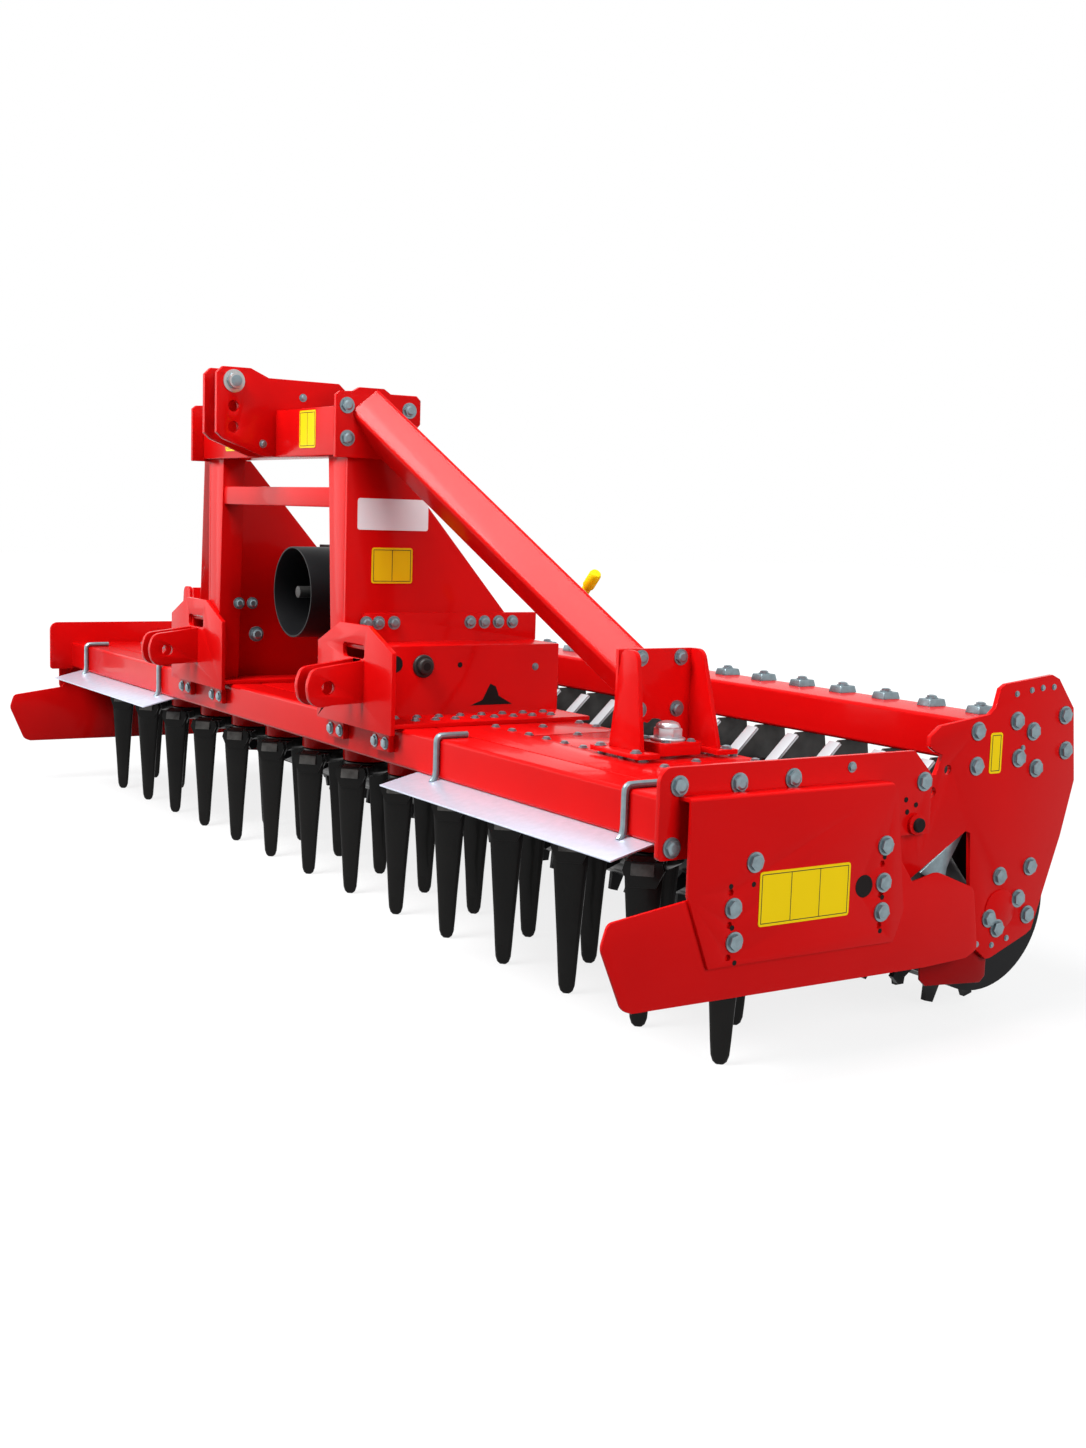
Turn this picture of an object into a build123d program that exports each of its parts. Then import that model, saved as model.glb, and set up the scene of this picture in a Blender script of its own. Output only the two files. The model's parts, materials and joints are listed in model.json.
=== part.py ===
from build123d import *
import os
from math import atan2, cos, degrees, radians, sin

# Mounted power harrow with a toothed packer roller, millimetres.
# +X runs along the working width, -Y points at the tractor, +Z is up and the floor is Z = 0.
# Depths are measured from the rotor line, heights from the floor.

# Rotors and tines
rotor_count = 14
rotor_pitch = 285.7
tine_circle = 280.0
tine_thickness = 18.0
tine_width = 92.0
tine_tip_width = 34.0
tine_top = 372.0
tine_phase = -45.0
carrier_radius = 72.0
carrier_thickness = 34.0
clamp_width = 74.0
clamp_drop = 26.0
housing_radius = 72.0
housing_sides = 16
housing_gap = 4.0
rotor_shaft_radius = 30.0
running_clearance = 0.08
working_width = rotor_count * rotor_pitch
half_width = working_width / 2
tine_radius = tine_circle / 2

# Gear trough and front beam
trough_bottom = 445.0
trough_height = 96.0
trough_front = -128.0
trough_rear = 330.0
trough_chamfer = 30.0
cover_thickness = 8.0
cover_margin = 16.0
cover_rib = 6.0
cover_rib_width = 150.0
beam_size = 100.0
beam_wall = 8.0
beam_corner = 10.0
trough_top = trough_bottom + trough_height
cover_top = trough_top + cover_thickness
beam_rear = trough_front
beam_front = beam_rear - beam_size
beam_top = cover_top + cover_rib
beam_bottom = beam_top - beam_size
rib_top = cover_top + cover_rib

# End plates of the trough
end_plate_thickness = 12.0
end_plate_front = -312.0
end_plate_top = 634.0
end_plate_corner = 30.0
end_plate_slope = 56.0
end_plate_nose = 420.0
end_plate_bottom = 451.0
end_inner = half_width - end_plate_thickness

# Roller arm pivot
pivot_y = 376.0
pivot_z = 474.0
pivot_radius = 15.0
pivot_head_radius = 23.0
pivot_head = 8.0
arm_gap = 5.0

# Folded side brackets and deflectors
bracket_reach = 40.0
bracket_thickness = 8.0
bracket_front = -265.0
bracket_rear = 281.0
bracket_top = 577.0
bracket_bottom = 234.0
bracket_knee_z = 385.0
bracket_knee_y = -208.0
bracket_fold = 14.0
bracket_hand_hole = (197.0, 361.0)
bracket_hand_hole_size = (28.0, 46.0)
bracket_flare = (316.0, 300.0)
bracket_heel_y = 290.0
hole_columns = (-159.0, 246.0)
hole_low_z = (252.0, 274.0)
hole_pitch = 66.0
hole_radius = 7.0
deflector_thickness = 8.0
deflector_front = -461.0
deflector_rear = 558.0
deflector_bottom = 162.0
deflector_top = 470.0

# Roller, its arms and the scraper bar
roller_y = 676.0
drum_radius = 200.0
drum_wall = 10.0
drum_end_gap = 40.0
tooth_radius = 250.0
tooth_count = 12
tooth_root = 46.0
tooth_tip = 26.0
tooth_thickness = 14.0
ring_count = 24
ring_pitch = 160.0
stub_radius = 30.0
roller_z = tooth_radius
arm_thickness = 12.0
arm_outer = end_inner - arm_gap
arm_inner = arm_outer - arm_thickness
drum_half = arm_inner - drum_end_gap
bar_front = 682.0
bar_depth = 170.0
bar_height = 100.0
bar_bottom = 570.0
bar_wall = 8.0
bar_corner = 10.0
scraper_thickness = 6.0
scraper_gap = 8.0
blade_width = 36.0
blade_thickness = 5.0
clamp_block = (58.0, 46.0, 18.0)
clamp_block_y = bar_front + bar_depth - 34.0
stop_holes = ((484, 583), (440, 536), (424, 492))
stop_hole_radius = 11.0
bearing_radius = 62.0
bearing_thickness = 24.0
shaft_clearance = 0.3

# Headstock
post_outer = 478.0
post_inner_top = 372.0
post_inner_foot = 412.0
post_front = -250.0
post_depth = 70.0
post_wall = 10.0
mast_plate_thickness = 12.0
mast_top = 1250.0
mast_plate_crown = 134.0
mast_plate_rear = 350.0
mast_heel_z = 832.0
mast_heel_y = 250.0
strip_bottom = 752.0
head_tube = 130.0
head_tube_front = -264.0
head_tube_wall = 8.0
head_plate_thickness = 15.0
head_plate_inner = 505.0
tie_bar_bottom = 1112.0
tie_bar_size = 54.0
tie_bar_front = -246.0
toplink_gap = 76.0
toplink_thickness = 16.0
toplink_hole_y = -393.0
toplink_hole_z = (1455.0, 1386.0, 1328.0)
toplink_radius = 16.0
toplink_pin_clearance = 0.3
toplink_pin_half = 78.0
toplink_pin_head = 24.0

# Lower link brackets
hitch_x = 590.0
hitch_gap = 50.0
hitch_ear = 16.0
hitch_hole_y = -363.0
hitch_hole_z = 648.0
hitch_hole_radius = 18.5
hitch_ear_radius = 46.0
hitch_plate_thickness = 12.0
hitch_plate_inner = 348.0
hitch_plate_outer = 788.0
hitch_plate_top = 809.0
hitch_plate_shoulder = 750.0
hitch_plate_crown = 168.0
hitch_plate_foot = 538.0
hitch_window = (126.0, 38.0)
hitch_window_z = 739.0
base_plate_thickness = 12.0
box_rear = 345.0
box_top = 753.0
box_wall = 10.0

# Gearbox and its input
input_z = 862.0
gearbox_front = -50.0
gearbox_rear = 262.0
gearbox_half = 125.0
gearbox_top = 1000.0
gearbox_waist = 690.0
gearbox_foot_radius = 150.0
guard_radius = 133.0
guard_wall = 5.0
guard_length = 134.0
input_radius = 17.45
input_reach = 116.0
input_seat = 40.0
journal_radius = 25.0
input_collar_radius = 60.0
input_collar = 18.0

# Brace, its tower and the filler
brace_width = 120.0
brace_height = 100.0
brace_wall = 6.0
brace_head = (-165.0, 1325.0)
brace_foot = (158.0, 722.0)
tower_x = 1376.0
tower_thickness = 12.0
tower_front = 26.0
tower_depth = 228.0
tower_top = 804.0
tower_arch = 62.0
gusset_foot = 96.0
gusset_top = 50.0
foot_depth = 62.0
foot_overhang = 44.0
foot_thickness = 12.0
filler_size = (92.0, 110.0, 30.0)
filler_y = 140.0
filler_plug_radius = 26.0
filler_plug_height = 44.0

# Stone guards in front of the tines
guard_sheet = 4.0
guard_inner = 866.0
guard_outer = 1870.0
guard_nose_y = -331.0
guard_nose_z = 430.0
guard_lap = 40.0
strap_width = 20.0
strap_thickness = 8.0
strap_inset = 94.0
strap_lap = 70.0

# Pads that hold the headstock to the beam
pad_size = (92.0, 46.0, 18.0)
pad_z = 512.0
pad_x = (434.0, 700.0)

# The rotor line is placed so that the origin is the middle of the whole machine
front_reach = -deflector_front
rear_reach = roller_y + tooth_radius
rotor_y = (front_reach - rear_reach) / 2


def side_plane(x):
    return Plane(origin=(x, rotor_y, 0), x_dir=(0, 1, 0), z_dir=(1, 0, 0))


def front_plane(y):
    return Plane(origin=(0, rotor_y + y, 0), x_dir=(1, 0, 0), z_dir=(0, -1, 0))


def top_plane(z):
    return Plane(origin=(0, rotor_y, z), x_dir=(1, 0, 0), z_dir=(0, 0, 1))


os.makedirs("parts", exist_ok=True)


def save(piece, name):
    piece.label = name
    export_step(piece, f"parts/{name}.step")


def save_pair(piece, name):
    with BuildPart() as both:
        add(piece)
        mirror(piece, about=Plane.YZ)
    save(both.part, name)


# Rotors: carrier disc, two clamps and two knife tines
with BuildPart() as rotor_form:
    with BuildSketch(Plane.XY.offset(tine_top)):
        RegularPolygon(carrier_radius, 8)
        Rectangle(tine_circle + clamp_width / 2, clamp_width)
    extrude(amount=-carrier_thickness)
    clamp_z = tine_top - carrier_thickness - clamp_drop
    with BuildSketch(Plane.XY.offset(clamp_z)):
        with Locations((tine_radius, 0), (-tine_radius, 0)):
            Rectangle(tine_thickness * 2, clamp_width)
    extrude(amount=clamp_drop)
    with BuildSketch(Plane.YZ.offset(tine_radius - tine_thickness / 2)):
        with BuildLine():
            left_foot = (-tine_tip_width / 2, tine_tip_width / 2)
            right_foot = (tine_tip_width / 2, tine_tip_width / 2)
            Polyline(left_foot, (-tine_width / 2, tine_top), (tine_width / 2, tine_top), right_foot)
            ThreePointArc(right_foot, (0, 0), left_foot)
        make_face()
    extrude(amount=tine_thickness)
    with BuildSketch(Plane.YZ.offset(-tine_radius - tine_thickness / 2)):
        with BuildLine():
            Polyline(left_foot, (-tine_width / 2, tine_top), (tine_width / 2, tine_top), right_foot)
            ThreePointArc(right_foot, (0, 0), left_foot)
        make_face()
    extrude(amount=tine_thickness)
    with BuildSketch(Plane.XY.offset(tine_top)):
        Circle(rotor_shaft_radius)
    extrude(amount=trough_bottom - tine_top - arm_gap)


def rotor_x(index):
    return (index - (rotor_count - 1) / 2) * rotor_pitch


for index in range(rotor_count):
    with BuildPart() as rotor:
        with Locations(Location((rotor_x(index), rotor_y, 0), (0, 0, tine_phase))):
            add(rotor_form.part)
    save(rotor.part, f"rotor_{index + 1:02d}")

# Bearing housings under the trough, one over each rotor
housing_bottom = tine_top + housing_gap
with BuildPart() as rotor_housings:
    housing_points = [(rotor_x(index), 0) for index in range(rotor_count)]
    with BuildSketch(top_plane(housing_bottom)):
        with Locations(*housing_points):
            RegularPolygon(housing_radius, housing_sides)
            Circle(rotor_shaft_radius + running_clearance, mode=Mode.SUBTRACT)
    extrude(amount=trough_bottom - housing_bottom)
save(rotor_housings.part, "rotor_housings")

# Gear trough
with BuildPart() as trough:
    with BuildSketch(side_plane(-end_inner)):
        with BuildLine():
            Polyline((trough_front, trough_bottom), (trough_front, trough_top), (trough_rear, trough_top),
                     (trough_rear, trough_bottom + trough_chamfer),
                     (trough_rear - trough_chamfer, trough_bottom), close=True)
        make_face()
    extrude(amount=2 * end_inner)
save(trough.part, "trough")

# Cover sheets on the trough with the two raised sheets beside the headstock
with BuildPart() as trough_cover:
    cover_depth = trough_rear - trough_front - cover_margin
    cover_mid = (trough_rear + trough_front - cover_margin) / 2
    with BuildSketch(top_plane(trough_top)):
        with Locations((0, cover_mid)):
            Rectangle(2 * end_inner, cover_depth)
    extrude(amount=cover_thickness)
    with BuildSketch(top_plane(cover_top)):
        with Locations((0, trough_front + cover_rib_width / 2)):
            Rectangle(2 * end_inner - 2 * cover_margin, cover_rib_width)
        with Locations((0, cover_mid)):
            Rectangle(2 * hitch_plate_outer, cover_depth)
        with Locations((tower_x + gusset_foot / 2, cover_mid), (-tower_x - gusset_foot / 2, cover_mid)):
            Rectangle(gusset_foot + 2 * foot_overhang + 2 * cover_margin, cover_depth)
    extrude(amount=cover_rib)
save(trough_cover.part, "trough_cover")

# Front beam, a square tube from end plate to end plate
with BuildPart() as front_beam:
    beam_mid = (beam_front + beam_rear) / 2
    with BuildSketch(side_plane(-end_inner)):
        with Locations((beam_mid, beam_top - beam_size / 2)):
            RectangleRounded(beam_size, beam_size, beam_corner)
            Rectangle(beam_size - 2 * beam_wall, beam_size - 2 * beam_wall, mode=Mode.SUBTRACT)
    extrude(amount=2 * end_inner)
save(front_beam.part, "front_beam")

# End plates of the trough
with BuildPart() as end_plate:
    with BuildSketch(side_plane(end_inner)):
        with BuildLine():
            Polyline((end_plate_front, end_plate_bottom), (end_plate_front, end_plate_top),
                     (end_plate_nose - end_plate_slope, end_plate_top),
                     (end_plate_nose, end_plate_top - end_plate_slope),
                     (end_plate_nose, end_plate_bottom), close=True)
        make_face()
        fillet(vertices().group_by(Axis.Y)[0].sort_by(Axis.X)[0], end_plate_corner / 3)
        fillet(vertices().group_by(Axis.Y)[-1].sort_by(Axis.X)[0], end_plate_corner)
        with Locations((pivot_y, pivot_z)):
            Circle(pivot_radius + shaft_clearance, mode=Mode.SUBTRACT)
    extrude(amount=end_plate_thickness)
save_pair(end_plate.part, "end_plates")

# Folded brackets that carry the deflectors
bracket_outer = half_width + bracket_reach
bracket_inner = bracket_outer - bracket_thickness
with BuildPart() as side_bracket:
    with BuildSketch(side_plane(bracket_inner)):
        with BuildLine():
            Polyline((bracket_front, bracket_knee_z), (bracket_front, bracket_top),
                     (bracket_rear - bracket_fold, bracket_top), (bracket_rear, bracket_top - bracket_fold),
                     bracket_flare, (bracket_heel_y, bracket_bottom), (bracket_knee_y, bracket_bottom), close=True)
        make_face()
        with Locations(bracket_hand_hole):
            Ellipse(bracket_hand_hole_size[0] / 2, bracket_hand_hole_size[1] / 2, mode=Mode.SUBTRACT)
        for column_y, low_z in zip(hole_columns, hole_low_z):
            with Locations(*[(column_y, low_z + step * hole_pitch) for step in range(3)]):
                Circle(hole_radius, mode=Mode.SUBTRACT)
    extrude(amount=bracket_thickness)
    with BuildSketch(side_plane(half_width)):
        with BuildLine():
            Polyline((bracket_front, bracket_top - bracket_thickness), (bracket_front, bracket_top),
                     (bracket_rear - bracket_fold, bracket_top),
                     (bracket_rear - bracket_fold, bracket_top - bracket_thickness), close=True)
        make_face()
    extrude(amount=bracket_reach)
    fillet(edges().filter_by(Axis.Y).group_by(Axis.Z)[-1].sort_by(Axis.X)[-1], bracket_thickness * 0.9)
save_pair(side_bracket.part, "side_brackets")

# Deflector plates beside the outer rotors
with BuildPart() as deflector:
    with BuildSketch(side_plane(bracket_inner - deflector_thickness)):
        with BuildLine():
            Polyline((deflector_front, 302), (deflector_front + 16, 350), (bracket_front + 8, 376),
                     (bracket_front + 60, deflector_top), (bracket_rear - 20, deflector_top),
                     (bracket_rear + 66, 356), (421, 371), (536, 325), (deflector_rear, 184),
                     (524, deflector_bottom + 6), (396, deflector_bottom), (-383, deflector_bottom + 4),
                     (-407, deflector_bottom + 13), close=True)
        make_face()
    extrude(amount=deflector_thickness)
save_pair(deflector.part, "deflectors")

# Pins on which the roller arms turn
with BuildPart() as arm_pivot:
    with BuildSketch(side_plane(half_width)):
        with Locations((pivot_y, pivot_z)):
            Circle(pivot_head_radius)
    extrude(amount=pivot_head)
    with BuildSketch(side_plane(half_width)):
        with Locations((pivot_y, pivot_z)):
            Circle(pivot_radius - running_clearance)
    extrude(amount=-(end_plate_thickness + 2 * arm_gap + arm_thickness))
    with BuildSketch(side_plane(arm_inner - arm_gap)):
        with Locations((pivot_y, pivot_z)):
            Circle(pivot_head_radius)
    extrude(amount=-pivot_head)
save_pair(arm_pivot.part, "arm_pivots")

# Roller arms with the notched front edge and the raised top
with BuildPart() as roller_arm:
    with BuildSketch(side_plane(arm_inner)):
        with BuildLine():
            Polyline((352, 505), (398, 522), (413, 552), (430, 576), (448, 575), (466, 617), (444, 625), (425, 637),
                     (426, 659), (457, 681), (605, 700), (623, 715), (635, 757), (652, 767),
                     (803, 784), (827, 774), (882, 705), (900, 536), (865, 409), (787, 194),
                     (771, 184), (656, 141), (640, 140), (602, 170), (580, 215), (576, 315),
                     (566, 436), (552, 442), (411, 362), (373, 340), (348, 345), (340, 430), close=True)
        make_face()
        with Locations((pivot_y, pivot_z)):
            Circle(pivot_radius, mode=Mode.SUBTRACT)
        with Locations(*stop_holes):
            Circle(stop_hole_radius, mode=Mode.SUBTRACT)
        with Locations((roller_y, roller_z)):
            Circle(stub_radius + shaft_clearance, mode=Mode.SUBTRACT)
    extrude(amount=arm_thickness)
save_pair(roller_arm.part, "roller_arms")

# Bearing flanges of the roller on the arms
with BuildPart() as roller_bearing:
    with BuildSketch(side_plane(arm_inner)):
        with Locations((roller_y, roller_z)):
            Circle(bearing_radius)
            Circle(stub_radius + running_clearance, mode=Mode.SUBTRACT)
    extrude(amount=-bearing_thickness)
save_pair(roller_bearing.part, "roller_bearings")

# Scraper bar between the arms
with BuildPart() as scraper_bar:
    with BuildSketch(side_plane(-arm_inner)):
        with Locations((bar_front + bar_depth / 2, bar_bottom + bar_height / 2)):
            RectangleRounded(bar_depth, bar_height, bar_corner)
            Rectangle(bar_depth - 2 * bar_wall, bar_height - 2 * bar_wall, mode=Mode.SUBTRACT)
    extrude(amount=2 * arm_inner)
save(scraper_bar.part, "scraper_bar")

# Scrapers that hang from the bar and follow the drum between the tooth rings
scraper_radius = drum_radius + scraper_gap
scraper_x = [(k - ring_count / 2) * ring_pitch for k in range(ring_count + 1)]


def on_drum(angle):
    return (roller_y + scraper_radius * cos(radians(angle)), roller_z + scraper_radius * sin(radians(angle)))


with BuildPart() as scraper_form:
    nose = (430.0, 350.0)
    neck = (bar_front - 20.0, bar_bottom)
    with BuildSketch(side_plane(-scraper_thickness / 2)):
        with BuildLine():
            Polyline(on_drum(172), nose, neck, (bar_front + 78.0, bar_bottom), (bar_front + 92.0, 470), on_drum(62))
            ThreePointArc(on_drum(62), on_drum(117), on_drum(172))
        make_face()
    extrude(amount=scraper_thickness)
    with BuildSketch(side_plane(-blade_width / 2)):
        with BuildLine():
            blade_foot = (nose[0] + 4, nose[1] + 4)
            blade_head = (neck[0] - 60, neck[1] - 66)
            Polyline(blade_foot, blade_head, (blade_head[0] - blade_thickness, blade_head[1] + blade_thickness),
                     (blade_foot[0] - blade_thickness, blade_foot[1] + blade_thickness), close=True)
        make_face()
    extrude(amount=blade_width)
with BuildPart() as scrapers:
    with Locations(*[(x, 0, 0) for x in scraper_x]):
        add(scraper_form.part)
save(scrapers.part, "scrapers")

# Clamps of the scrapers on top of the bar
with BuildPart() as scraper_clamps:
    with BuildSketch(top_plane(bar_bottom + bar_height)):
        with Locations(*[(x, clamp_block_y) for x in scraper_x]):
            Rectangle(clamp_block[1], clamp_block[0])
    extrude(amount=clamp_block[2], taper=12)
save(scraper_clamps.part, "scraper_clamps")

# Side shields on the inside of the arms, ahead of the roller bearing
with BuildPart() as roller_shield:
    with BuildSketch(side_plane(arm_inner)):
        with BuildLine():
            Polyline((446, 152), (448, 112), (466, 96), (640, 82), (656, 96), (656, 176), (604, 186), (596, 170),
                     close=True)
        make_face()
    extrude(amount=-6)
save_pair(roller_shield.part, "roller_shields")

# Packer roller: hollow drum, end discs, hollow stub shafts and rings of teeth
tooth_seat = 8.0
tooth_height = tooth_radius - drum_radius + tooth_seat
tooth_flank = degrees(atan2(tooth_height, (tooth_root - tooth_tip) / 2))
with BuildPart() as packer_roller:
    with BuildSketch(side_plane(-drum_half)):
        with Locations((roller_y, roller_z)):
            Circle(drum_radius)
    extrude(amount=2 * drum_half)
    ring_x = [(k - (ring_count - 1) / 2) * ring_pitch for k in range(ring_count)]
    for k, x in enumerate(ring_x):
        with BuildSketch(side_plane(x - tooth_thickness / 2)):
            with Locations((roller_y, roller_z)):
                with PolarLocations(0, tooth_count, start_angle=(k % 2) * 180 / tooth_count):
                    with Locations((drum_radius - tooth_seat, 0)):
                        Trapezoid(tooth_root, tooth_height, tooth_flank, align=(Align.CENTER, Align.MIN),
                                  rotation=-90)
        extrude(amount=tooth_thickness)
    with BuildSketch(side_plane(-drum_half + drum_wall)):
        with Locations((roller_y, roller_z)):
            Circle(drum_radius - drum_wall)
    extrude(amount=2 * drum_half - 2 * drum_wall, mode=Mode.SUBTRACT)
    for side in (-1, 1):
        with BuildSketch(side_plane(side * (drum_half - drum_wall))):
            with Locations((roller_y, roller_z)):
                Circle(stub_radius)
        extrude(amount=side * (drum_end_gap + drum_wall + arm_thickness))
save(packer_roller.part, "packer_roller")


def post_inner(z):
    share = (z - rib_top) / (mast_top - rib_top)
    return post_inner_foot + (post_inner_top - post_inner_foot) * share


# Mast posts, channels that widen towards the head
with BuildPart() as mast_post:
    post_foot = rib_top + base_plate_thickness
    with BuildSketch(front_plane(post_front + post_depth)):
        with BuildLine():
            Polyline((post_inner(post_foot), post_foot), (post_outer, post_foot), (post_outer, mast_top),
                     (post_inner_top, mast_top), close=True)
        make_face()
    extrude(amount=post_depth)
    with BuildSketch(front_plane(post_front + post_depth)):
        with BuildLine():
            Polyline((post_inner(post_foot) + post_wall, post_foot), (post_outer - post_wall, post_foot),
                     (post_outer - post_wall, mast_top - post_wall),
                     (post_inner_top + post_wall, mast_top - post_wall), close=True)
        make_face()
    extrude(amount=post_depth - post_wall, mode=Mode.SUBTRACT)
save_pair(mast_post.part, "mast_posts")

# Mast side plates, triangular with a bolted heel
with BuildPart() as mast_plate:
    with BuildSketch(side_plane(post_outer)):
        with BuildLine():
            Polyline((post_front, post_foot), (post_front, mast_top), (post_front + mast_plate_crown, mast_top),
                     (mast_heel_y, mast_heel_z), (mast_plate_rear, mast_heel_z), (mast_plate_rear, strip_bottom),
                     (mast_plate_rear - 90, post_foot), close=True)
        make_face()
    extrude(amount=mast_plate_thickness)
save_pair(mast_plate.part, "mast_plates")

# Head tube across the top of the mast
with BuildPart() as head_tube_part:
    with BuildSketch(side_plane(-head_plate_inner)):
        with Locations((head_tube_front + head_tube / 2, mast_top + head_tube / 2)):
            Rectangle(head_tube, head_tube)
            Rectangle(head_tube - 2 * head_tube_wall, head_tube - 2 * head_tube_wall, mode=Mode.SUBTRACT)
    extrude(amount=2 * head_plate_inner)
save(head_tube_part.part, "head_tube")

# Plates that close the head tube and carry the brace
with BuildPart() as head_plate:
    with BuildSketch(side_plane(head_plate_inner)):
        with BuildLine():
            Polyline((-300, 1243), (-300, 1404), (-288, 1414), (-251, 1416), (-232, 1427), (-160, 1427), (-140, 1414),
                     (-62, 1414), (-50, 1402), (-50, 1339), (-140, 1243), close=True)
        make_face()
    extrude(amount=head_plate_thickness)
save_pair(head_plate.part, "head_plates")

# Tie bar between the posts
with BuildPart() as tie_bar:
    with BuildSketch(front_plane(tie_bar_front + tie_bar_size)):
        tie_top = tie_bar_bottom + tie_bar_size
        with BuildLine():
            Polyline((-post_inner(tie_bar_bottom), tie_bar_bottom), (post_inner(tie_bar_bottom), tie_bar_bottom),
                     (post_inner(tie_top), tie_top), (-post_inner(tie_top), tie_top), close=True)
        make_face()
    extrude(amount=tie_bar_size)
save(tie_bar.part, "tie_bar")

# Top link plates on the head tube
with BuildPart() as toplink_plates:
    for start in (toplink_gap / 2, -toplink_gap / 2 - toplink_thickness):
        with BuildSketch(side_plane(start)):
            with BuildLine():
                Polyline((-443, 1476), (-425, 1494), (-342, 1494), (-287, 1470), (-68, 1468), (-45, 1448),
                         (-45, mast_top + head_tube), (head_tube_front, mast_top + head_tube),
                         (head_tube_front, mast_top), (-303, mast_top), (-424, 1295), (-443, 1312), close=True)
            make_face()
            with Locations(*[(toplink_hole_y, z) for z in toplink_hole_z]):
                Circle(toplink_radius, mode=Mode.SUBTRACT)
        extrude(amount=toplink_thickness)
save(toplink_plates.part, "toplink_plates")

# Top link pin in the upper hole
with BuildPart() as toplink_pin:
    with BuildSketch(side_plane(-toplink_pin_half)):
        with Locations((toplink_hole_y, toplink_hole_z[0])):
            Circle(toplink_radius - toplink_pin_clearance)
    extrude(amount=2 * toplink_pin_half)
    plate_outer = toplink_gap / 2 + toplink_thickness
    with BuildSketch(side_plane(plate_outer)):
        with Locations((toplink_hole_y, toplink_hole_z[0])):
            RegularPolygon(toplink_pin_head, 6)
    extrude(amount=toplink_pin_head / 2)
    with BuildSketch(side_plane(-plate_outer)):
        with Locations((toplink_hole_y, toplink_hole_z[0])):
            RegularPolygon(toplink_pin_head, 6)
    extrude(amount=-toplink_pin_head / 2)
save(toplink_pin.part, "toplink_pin")

# Lower link brackets: front plate with its window and two ears
with BuildPart() as hitch_bracket:
    hitch_mid = (hitch_plate_inner + hitch_plate_outer) / 2
    with BuildSketch(front_plane(post_front)):
        with BuildLine():
            Polyline((hitch_plate_inner, hitch_plate_foot), (hitch_plate_inner, hitch_plate_shoulder),
                     (hitch_mid - hitch_plate_crown / 2, hitch_plate_top),
                     (hitch_mid + hitch_plate_crown / 2, hitch_plate_top),
                     (hitch_plate_outer, hitch_plate_shoulder), (hitch_plate_outer, hitch_plate_foot), close=True)
        make_face()
        with Locations((hitch_mid, hitch_window_z)):
            RectangleRounded(hitch_window[0], hitch_window[1], hitch_window[1] / 3, mode=Mode.SUBTRACT)
    extrude(amount=hitch_plate_thickness)
    ear_face = post_front - hitch_plate_thickness
    for start in (hitch_x + hitch_gap / 2, hitch_x - hitch_gap / 2 - hitch_ear):
        with BuildSketch(side_plane(start)):
            with Locations((hitch_hole_y, hitch_hole_z)):
                Circle(hitch_ear_radius)
            with BuildLine():
                Polyline((ear_face, 718), (hitch_hole_y, hitch_hole_z + hitch_ear_radius),
                         (hitch_hole_y, hitch_hole_z - hitch_ear_radius), (ear_face, 606), close=True)
            make_face()
            with Locations((hitch_hole_y, hitch_hole_z)):
                Circle(hitch_hole_radius, mode=Mode.SUBTRACT)
        extrude(amount=hitch_ear)
save_pair(hitch_bracket.part, "hitch_brackets")

# Welded boxes behind the lower link brackets
with BuildPart() as side_box:
    with BuildSketch(top_plane(rib_top)):
        with Locations(((hitch_plate_inner + hitch_plate_outer) / 2, (post_front + mast_plate_rear) / 2)):
            Rectangle(hitch_plate_outer - hitch_plate_inner, mast_plate_rear - post_front)
    extrude(amount=base_plate_thickness)
    box_outer = hitch_x + hitch_gap / 2 + hitch_ear
    with BuildSketch(side_plane(box_outer - box_wall)):
        with BuildLine():
            Polyline((post_front, post_foot), (post_front, box_top), (box_rear, box_top), (box_rear, post_foot),
                     close=True)
        make_face()
    extrude(amount=box_wall)
    strip_inner = post_outer + mast_plate_thickness
    with BuildSketch(top_plane(box_top - box_wall)):
        with Locations(((strip_inner + box_outer) / 2, (post_front + box_rear) / 2)):
            Rectangle(box_outer - strip_inner, box_rear - post_front)
    extrude(amount=box_wall)
    with BuildSketch(front_plane(box_rear)):
        with Locations(((strip_inner + box_outer) / 2, (post_foot + box_top) / 2)):
            Rectangle(box_outer - strip_inner, box_top - post_foot)
    extrude(amount=box_wall)
    with BuildSketch(side_plane(strip_inner)):
        with Locations(((-200 + mast_plate_rear) / 2, (box_top + mast_heel_z) / 2)):
            Rectangle(mast_plate_rear + 200, mast_heel_z - box_top)
    extrude(amount=box_wall)
save_pair(side_box.part, "side_boxes")

# Pads that clamp the headstock to the front of the beam
with BuildPart() as beam_pads:
    for side in (-1, 1):
        with BuildSketch(front_plane(beam_front)):
            with Locations(*[(side * x, pad_z) for x in pad_x]):
                Rectangle(pad_size[0], pad_size[1])
        extrude(amount=pad_size[2])
save(beam_pads.part, "beam_pads")

# Gearbox: round foot on the trough and a square upper casing
with BuildPart() as gearbox:
    gearbox_mid = (gearbox_front + gearbox_rear) / 2
    with BuildSketch(top_plane(rib_top)):
        with Locations((0, gearbox_mid)):
            Circle(gearbox_foot_radius)
    extrude(amount=gearbox_waist - rib_top)
    with BuildSketch(top_plane(gearbox_waist)):
        with Locations((0, gearbox_mid)):
            RectangleRounded(2 * gearbox_half, gearbox_rear - gearbox_front, 30)
    extrude(amount=gearbox_top - gearbox_waist)
    with BuildSketch(front_plane(gearbox_front)):
        with Locations((0, input_z)):
            Circle(input_collar_radius)
    extrude(amount=input_collar)
    with BuildSketch(front_plane(gearbox_front + input_seat)):
        with Locations((0, input_z)):
            Circle(journal_radius + running_clearance)
    extrude(amount=input_seat + input_collar, mode=Mode.SUBTRACT)
save(gearbox.part, "gearbox")

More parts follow.
